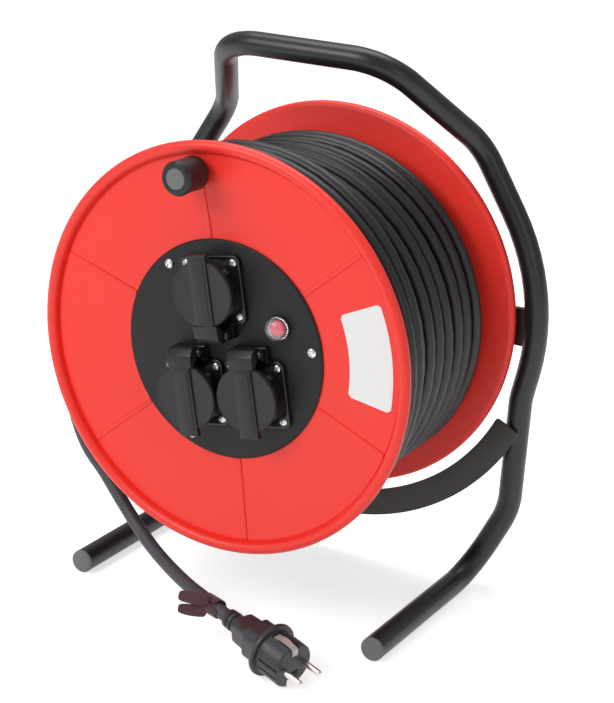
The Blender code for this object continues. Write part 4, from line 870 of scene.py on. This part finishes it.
def make_socket(label, place):
    base = softened(plate("socket_plate", rounded_square(26, 5), 0.7, 4.2, place), 0.8, 3)
    field = plate("socket_field", rounded_square(24.2, 3.6), 0, 1.15, place)
    base = combined(base, [field], "DIFFERENCE")
    cup = turned("socket_cup", facing([(0, 7.2), (19.1, 7.2, 0.6), (19.5, 4), (19.6, -10.3, 0.7), (23.5, -10.3, 0.7),
                                       (23.7, 2), (21.8, 4.2), (21.8, 32), (0, 32)]), place @ TO_FRONT, 96)
    ears = []
    for side in (-1, 1):
        spot = place @ shift(side * 12.6, 0, 0) @ SIDE
        outline = [(HINGE_Z - 9, -1.6), (HINGE_Z - 4, 7.6, 4), (HINGE_Z - 0.5, 11.4, 3.4), (HINGE_Z + 3.8, 8, 3.4),
                   (HINGE_Z + 3, -2.2), (HINGE_Z - 7, -2.2)]
        ears.append(softened(plate("ear", outline, -1.7, 1.7, spot), 0.5, 2))
    step = block("hinge_step", (-14.5, -1.2, 24.6), (14.5, 4.4, 37), place, 1)
    body = combined(base, [cup, step, *ears], "UNION")
    holes = [turned("hole", facing([(0, -9), (2.7, -9), (2.7, 21), (0, 21)]),
                    place @ shift(side * PIN_PLACE, 0, 0) @ TO_FRONT, 32) for side in (-1, 1)]
    bore = turned("cup_bore", facing([(0, -12), (19.3, -12), (19.1, 7.2), (0, 7.2)]), place @ TO_FRONT, 96)
    body = combined(combined(body, [bore], "DIFFERENCE"), holes, "DIFFERENCE")
    dress(body, "drum", GLOSS, "black_plastic", f"socket_body_{label}")
    for side, end in ((-1, "low"), (1, "high")):
        strip = [(0, 7.1, side * 17.2), (0, 2, side * 18.2), (0, -2, side * 17), (0, -5, side * 16.6),
                 (0, -8, side * 18.4)]
        clip = ribbon(f"earth_contact_{label}_{end}", strip, [5, 5, 4.6, 4.2, 4], 0.8, (1, 0, 0), place)
        dress(clip, "drum", NICKEL, "nickel_plate")
    return body


def make_lid(label, place):
    cap = turned("lid_cap", facing([(0, -14.85), (23.6, -14.85, 0.5), (24.1, -15.1, 0.3), (24.9, -15.1, 0.6),
                                    (25.7, -13.8, 0.8), (25.7, -10.6, 0.3), (24.1, -10.6, 0.3), (23.9, -12.6, 0.5),
                                    (0, -12.6)]), place @ TO_FRONT, 120)
    side = facing([(-30.2, -15.6, 0.7), (-29.4, -16.2, 0.7), (25, -16.3), (25, -12.2), (-27.8, -12.2),
                   (-28.6, -11.2, 0.5), (-30.2, -11.2, 0.5)])
    strap = softened(plate("lid_strap", side, -8, 8, place @ SIDE), 0.5, 2)
    spine = softened(plate("lid_spine", facing([(-26, -16.7, 0.3), (21, -16.7, 0.3), (22, -15.8), (-27, -15.8)]),
                           -5.6, 5.6, place @ SIDE), 0.25, 2)
    hood_side = facing([(23.6, -16.9, 0.6), (32.5, -16.2, 5), (38.4, -11.5, 4), (38.2, -5.2, 1.2), (33, -3.2, 1.2),
                        (28.6, -8, 2), (25.6, -11.4), (23.6, -11.6)])
    hood = softened(plate("lid_hood", hood_side, -10.5, 10.5, place @ SIDE), 0.7, 3)
    lid = merged("lid", [cap, strap, spine, hood])
    return dress(lid, f"lid_{label}", MOULDING, "black_plastic", f"lid_{label}")


print("hinge", HINGE_Z, "mm from a socket's centre")

# %% Place the three sockets
for label, x, z, hinge_below in SOCKETS:
    place = PANEL_PLACE @ shift(x, 0, z) @ Matrix.Rotation(pi if hinge_below else 0, 4, "Y")
    body = make_socket(label, place)
    body.name = f"socket_{label}"
    lid = make_lid(label, place)
    lid.name = f"cover_{label}"
    print(label, "socket faces:", len(body.data.polygons), "lid faces:", len(lid.data.polygons))

# %% [markdown]
# ## Reset button
# The thermal cut-out shows a red button under a clear boot. The bezel and the button are turned; the boot is a
# thin shell with a real inside and outside, because a single surface would bend light like a solid lump.

# %% Cut-out, button and boot
BUTTON_FRONT, BUTTON_TRAVEL = -1.6, 2.5

bezel = turned("cutout_bezel", facing([(6.6, 2.2, 0.3), (9.4, 2.2, 0.7), (9.4, 4.3), (8, 4.3), (8, 24.5), (0, 24.5),
                                       (0, 22), (6.6, 22)]), BUTTON_PLACE, 56)
dress(bezel, "drum", MOULDING, "black_plastic", "cutout_body")
button = turned("reset_cap", facing([(0, BUTTON_FRONT), (2.2, -1.5), (4.3, -1.1), (5.6, -0.3), (6.3, 1.2),
                                     (6.3, 13.4, 0.4), (0, 13.4)]), BUTTON_PLACE, 56)
dress(button, "reset_button", BUTTON_RED, "red_button", "reset_button")
outside = [(0, -6.7), (3, -6.55), (5.4, -5.9), (7.2, -4.6), (8.3, -2.8), (8.7, -0.6), (8.8, 0.9), (9.3, 1.9, 0.3)]
inside = [(7.6, 1.9), (7.5, -0.4), (6.9, -2.4), (5.8, -4), (4.2, -4.9), (2.2, -5.3), (0, -5.4)]
boot = turned("button_boot", facing(outside + inside), BUTTON_PLACE, 64)
dress(boot, "drum", BOOT, "clear_plastic", "cutout_boot")
print("button travel ends", round(BUTTON_FRONT + BUTTON_TRAVEL, 1), "mm behind the rim plane")

# %% [markdown]
# ## Crank knob and label
# The knob turns freely on a bolt near the rim, so it is slightly waisted for the fingers and has a grey cap in
# its end. The label is a plain white film with rounded corners. It follows the dished web, so it is built as a
# grid in the drum's own angles and radii and then given a thickness.

# %% Knob
KNOB_X, KNOB_Z = polar(136.5, 100)
KNOB_PLACE = DRUM @ shift(KNOB_X, 0, KNOB_Z) @ TO_FRONT
waisted = [(4.4, -28.5), (8.3, -28.5, 0.2), (8.5, -28.9, 0.1), (11.4, -28.9, 1.2), (13, -26.6, 1.4), (12.6, -16, 6),
           (12.9, -4.4, 0.8), (12.2, -2.5, 0.8), (4.4, -2.5)]
knob = turned("knob_grip", facing(waisted), KNOB_PLACE, 96, True)
dress(knob, "crank_knob", MOULDING, "black_plastic", "crank_knob")
cap_outline = [(0, -29.2), (6.6, -29.1, 0.5), (8, -28.8, 0.4), (8, -26.6), (0, -26.6)]
cap = turned("knob_disc", facing(cap_outline), KNOB_PLACE, 64)
dress(cap, "crank_knob", GREY, "grey_plastic", "knob_cap")
print("knob centre", [round(v, 1) for v in (KNOB_X, KNOB_Z)])


# %% Label
def make_label():
    """A film between two radii and two angles, with its corners rounded."""
    inner, outer, low, high, corner = 108.0, 145.0, -7.0, 25.5, 2.4
    proud, thickness = 0.3, 0.4
    edit = bmesh.new()
    rows, columns = 14, 40
    grid = []
    for i in range(rows + 1):
        radius = inner + (outer - inner) * i / rows
        from_edge = min(radius - inner, outer - radius)
        cut = corner - (corner**2 - (corner - from_edge) ** 2) ** 0.5 if from_edge < corner else 0
        trim = cut / radius * 180 / pi
        line = []
        for j in range(columns + 1):
            x, z = polar(radius, low + trim + (high - low - 2 * trim) * j / columns)
            line.append(edit.verts.new(Vector((x, web_front(radius) - proud, z)) * MM))
        grid.append(line)
    for i in range(rows):
        for j in range(columns):
            edit.faces.new((grid[i][j], grid[i][j + 1], grid[i + 1][j + 1], grid[i + 1][j]))
    film = object_from("blank_label", edit, DRUM)
    skin = film.modifiers.new("film", "SOLIDIFY")
    skin.thickness = thickness * MM
    skin.offset = 0
    return settled(film)


label_film = dress(make_label(), "drum", PAPER, "white_paper", "rating_label")
print("label faces:", len(label_film.data.polygons))

# %% [markdown]
# ## The stand
# One length of steel tube makes both feet, both uprights and the carrying handle. The real tube is bent on a
# former, so its path is straight runs joined by arcs of a stated radius. Each arc is cut into short steps, and
# the tube is swept along the whole path at once.

# %% The tube's path
def arc_path(corners, step_deg):
    """Straight runs through 3D corners, each (point, bend radius) rounded by a tangent arc."""
    path = [corners[0][0]]
    for (before, _), (here, bend), (after, _) in zip(corners, corners[1:], corners[2:]):
        to_start, to_end = (before - here).normalized(), (after - here).normalized()
        half = to_start.angle(to_end) / 2
        start, end = here + to_start * (bend / tan(half)), here + to_end * (bend / tan(half))
        centre = here + (to_start + to_end).normalized() * (bend / sin(half))
        steps = max(4, round((180 - 2 * half * 180 / pi) / step_deg))
        for k in range(steps + 1):
            path.append(centre + bend * (start - centre).slerp(end - centre, k / steps))
    return path + [corners[-1][0]]


UPRIGHT_Y, HUG = 187.5, 173.5
FOOT_X, FOOT_HEIGHT = 135, 9.51
TUBE_RADIUS = 9.5


def frame_corners():
    hub = Vector((0, UPRIGHT_Y, AXLE_HEIGHT))

    def ray(radius, angle):
        x, z = polar(radius, angle)
        return Vector((x, 0, z))

    return [(Vector((FOOT_X, 11.8, FOOT_HEIGHT)), 0), (Vector((FOOT_X, 178, FOOT_HEIGHT)), 38),
            (Vector((162, UPRIGHT_Y, 68)), 60),
            (hub + ray(HUG, -12) + ray(22, -102), 60), (hub + ray(HUG / cos(radians(21.95)), 9.95), HUG),
            (hub + ray(HUG, 31.9) + ray(57.9, 121.9), 42), (Vector((70.5, 108.5, 432.8)), 45)]


right_half = frame_corners()
left_half = [(Vector((-point.x, point.y, point.z)), bend) for point, bend in reversed(right_half)]
tube_path = [at(*point) for point in arc_path(right_half + left_half, 4)]
stand = dress(tube("stand_tube", tube_path, TUBE_RADIUS, 10), "frame", PAINT, "black_paint", "frame_tube")
print("tube points:", len(tube_path))

# %% Feet
for side, label in ((-1, "left"), (1, "right")):
    spot = Matrix.Translation(at(side * FOOT_X, 0, FOOT_HEIGHT)) @ TO_FRONT
    cap_outline = facing([(0, 8.6), (6.6, 8.7, 1.5), (9.4, 9.6, 1.2), (9.5, 11.6), (8.3, 11.7), (8.2, 22), (0, 22)])
    dress(turned(f"tube_cap_{label}", cap_outline, spot, 64), "frame", GREY, "grey_plastic", f"foot_cap_{label}")
print("feet capped at", FOOT_X, "mm from the middle")

# %% [markdown]
# ## Guard, cross bar and axle nut
# A flat ring sector stands behind the drum's lower half and keeps the cable off the floor; small lugs tie it to
# the tube. Behind the drum a flat bar carries the axle. All three are steel, cut flat and lightly broken at the
# edges, so they are plates with a small bevel.

# %% Guard plate
GUARD_INNER, GUARD_OUTER = 168, 190


def make_guard():
    inner = [polar(GUARD_INNER, angle) for angle in range(-152, -27, 2)]
    outer = [polar(GUARD_OUTER, angle) for angle in range(-28, -153, -2)]
    corners = [(*polar(GUARD_INNER, -154), 2), *inner, (*polar(GUARD_INNER, -26), 2),
               (*polar(GUARD_OUTER, -26), 3), *outer, (*polar(GUARD_OUTER, -154), 3)]
    return softened(plate("guard_ring", corners, 174.2, 177.2, DRUM), 0.5, 2, 50)


guard = dress(make_guard(), "frame", GUARD_PAINT, "black_paint", "guard_plate")
lug_x, lug_z = polar(180, -30)
for side, label in ((-1, "left"), (1, "right")):
    x = side * lug_x
    lug = block(f"guard_lug_{label}", (x - 7, 176.9, lug_z - 4), (x + 7, 186.5, lug_z + 4), DRUM, 1.2)
    dress(lug, "frame", PAINT, "black_paint")
print("guard faces:", len(guard.data.polygons))

# %% Cross bar, washer and nut
bar = softened(plate("cross_bar", [(-173.5, -15.5, 2), (173.5, -15.5, 2), (173.5, 15.5, 2), (-173.5, 15.5, 2)],
                     189.5, 194.5, DRUM), 0.7, 3)
bore = turned("bar_bore", [(0, 185), (9.3, 185), (9.3, 199), (0, 199)], DRUM @ TO_REAR, 48)
dress(combined(bar, [bore], "DIFFERENCE"), "frame", PAINT, "black_paint", "hub_crossbar")
washer = turned("axle_washer", [(9.3, 194.8, 0.3), (15.3, 194.8, 0.5), (15.3, 196.4, 0.5), (9.3, 196.4, 0.3)],
                DRUM @ TO_REAR, 72, True)
dress(washer, "frame", ZINC, "zinc_plate", "rear_washer")


def make_nut():
    """A hexagon, with its corners cut back by a turned crown."""
    across = 27
    flats = [polar(across / 2 / cos(pi / 6), 60 * k + 30) for k in range(6)]
    nut = plate("axle_nut", flats, 196.7, 202.7, DRUM)
    crown = turned("crown", [(9.3, 196.7), (13.9, 196.7), (15.6, 197.6), (15.6, 201.8), (13.9, 202.7), (9.9, 202.7),
                             (9.3, 202.1)], DRUM @ TO_REAR, 72, True)
    return combined(nut, [crown], "INTERSECT")


nut = dress(make_nut(), "frame", ZINC, "zinc_plate", "rear_nut")
thread = [(0, 203.9), (7.6, 203.9)]
for k in range(9):
    height = 203.2 - 1.5 * k
    thread += [(8.2, height), (9, height - 0.75)]
axle_outline = thread + [(9, 190), (9, 66.4), (8.4, 65.9), (0, 65.9)]
dress(turned("axle_rod", axle_outline, DRUM @ TO_REAR, 56), "frame", ZINC, "zinc_plate", "axle")
print("nut faces:", len(nut.data.polygons))

# %% [markdown]
# ## Finishes on the nodes that stay
# Inner and small pieces keep their CAD shape and only take a finish: the barrel, the bushes, the hinge pins and
# what holds the axle. Each is listed once with the finish that its material slot asks for.

# %% Node finishes
STAYING = {
    "drum_barrel": RED, "bulkhead": MOULDING, "bush_front": NYLON, "bush_rear": NYLON, "terminal_block": NYLON,
    "front_washer": ZINC, "front_nut": ZINC, "axle_spacer": PAINT, "knob_bolt": ZINC,
    "lid_pin_top": ZINC, "lid_pin_left": ZINC, "lid_pin_right": ZINC,
}
for name, finish in STAYING.items():
    mesh = nodes[name].data
    mesh.materials.clear()
    mesh.materials.append(finish)
print("finished CAD nodes:", len(STAYING))

# %% [markdown]
# ## Floor, backdrop and light
# The reel stands in a plain white sweep. The floor is pale and diffuse, and what the camera sees of it is lifted
# to white with a little emission, so that only the soft shadow under the reel stays. Three soft boxes and an even
# sky light it, at a level at which colours come out about as they are written.

# %% Floor
FLOOR_GLOW = 0.64


def seen_directly(tree, *rays):
    """1 where one of the named kinds of ray meets the surface, and 0 for the light that falls on the reel."""
    path = add_node(tree, "ShaderNodeLightPath")
    total = (path, rays[0])
    for ray in rays[1:]:
        total = (maths(tree, "ADD", total, (path, ray)), "Value")
    return maths(tree, "MINIMUM", total, 1.0)


def make_floor():
    edit = bmesh.new()
    bmesh.ops.create_grid(edit, x_segments=2, y_segments=2, size=6)
    floor = object_from("floor", edit)
    paint = bpy.data.materials.new("floor_white")
    paint.use_nodes = True
    tree = paint.node_tree
    shader = tree.nodes["Principled BSDF"]
    shader.inputs["Base Color"].default_value = (0.8, 0.8, 0.8, 1)
    shader.inputs["Roughness"].default_value = 0.95
    shader.inputs["Specular IOR Level"].default_value = 0
    shader.inputs["Emission Color"].default_value = (1, 1, 1, 1)
    seen = seen_directly(tree, "Is Camera Ray", "Is Glossy Ray", "Is Transmission Ray")
    strength = maths(tree, "MULTIPLY", (seen, "Value"), FLOOR_GLOW)
    wire(tree, strength, "Value", shader, "Emission Strength")
    floor.data.materials.append(paint)
    return floor


print("floor", [round(v, 1) for v in make_floor().dimensions], "m")

# %% Sky
LIGHT_LEVEL, SEEN_LEVEL = 0.42, 1.0
world = bpy.data.worlds.new("studio_sky")
bpy.context.scene.world = world
world.use_nodes = True
sky = world.node_tree
background = sky.nodes["Background"]
background.inputs["Color"].default_value = (1, 1, 1, 1)
seen = seen_directly(sky, "Is Camera Ray", "Is Transmission Ray")
strength = ranged(sky, seen, "Value", 0, 1, LIGHT_LEVEL, SEEN_LEVEL)
wire(sky, strength, "Result", background, "Strength")
print("sky lights at", LIGHT_LEVEL, "and shows at", SEEN_LEVEL)

# %% Soft boxes
def soft_box(name, place, aim, size, watts):
    light = bpy.data.lights.new(name, "AREA")
    light.shape = "RECTANGLE"
    light.size, light.size_y = size
    light.energy = watts
    lamp = linked(name, light)
    direction = Vector(aim) - Vector(place)
    lamp.matrix_world = Matrix.Translation(place) @ direction.to_track_quat("-Z", "Y").to_matrix().to_4x4()


soft_box("key", (-0.75, -1.75, 1.55), (0, 0, 0.22), (1.3, 1.0), 26)
soft_box("top", (-0.2, 0.35, 1.7), (0, 0, 0.2), (1.4, 0.9), 15)
soft_box("side", (1.9, -0.9, 0.9), (0, 0, 0.2), (0.5, 1.0), 3)
bpy.context.scene.view_settings.view_transform = "Standard"
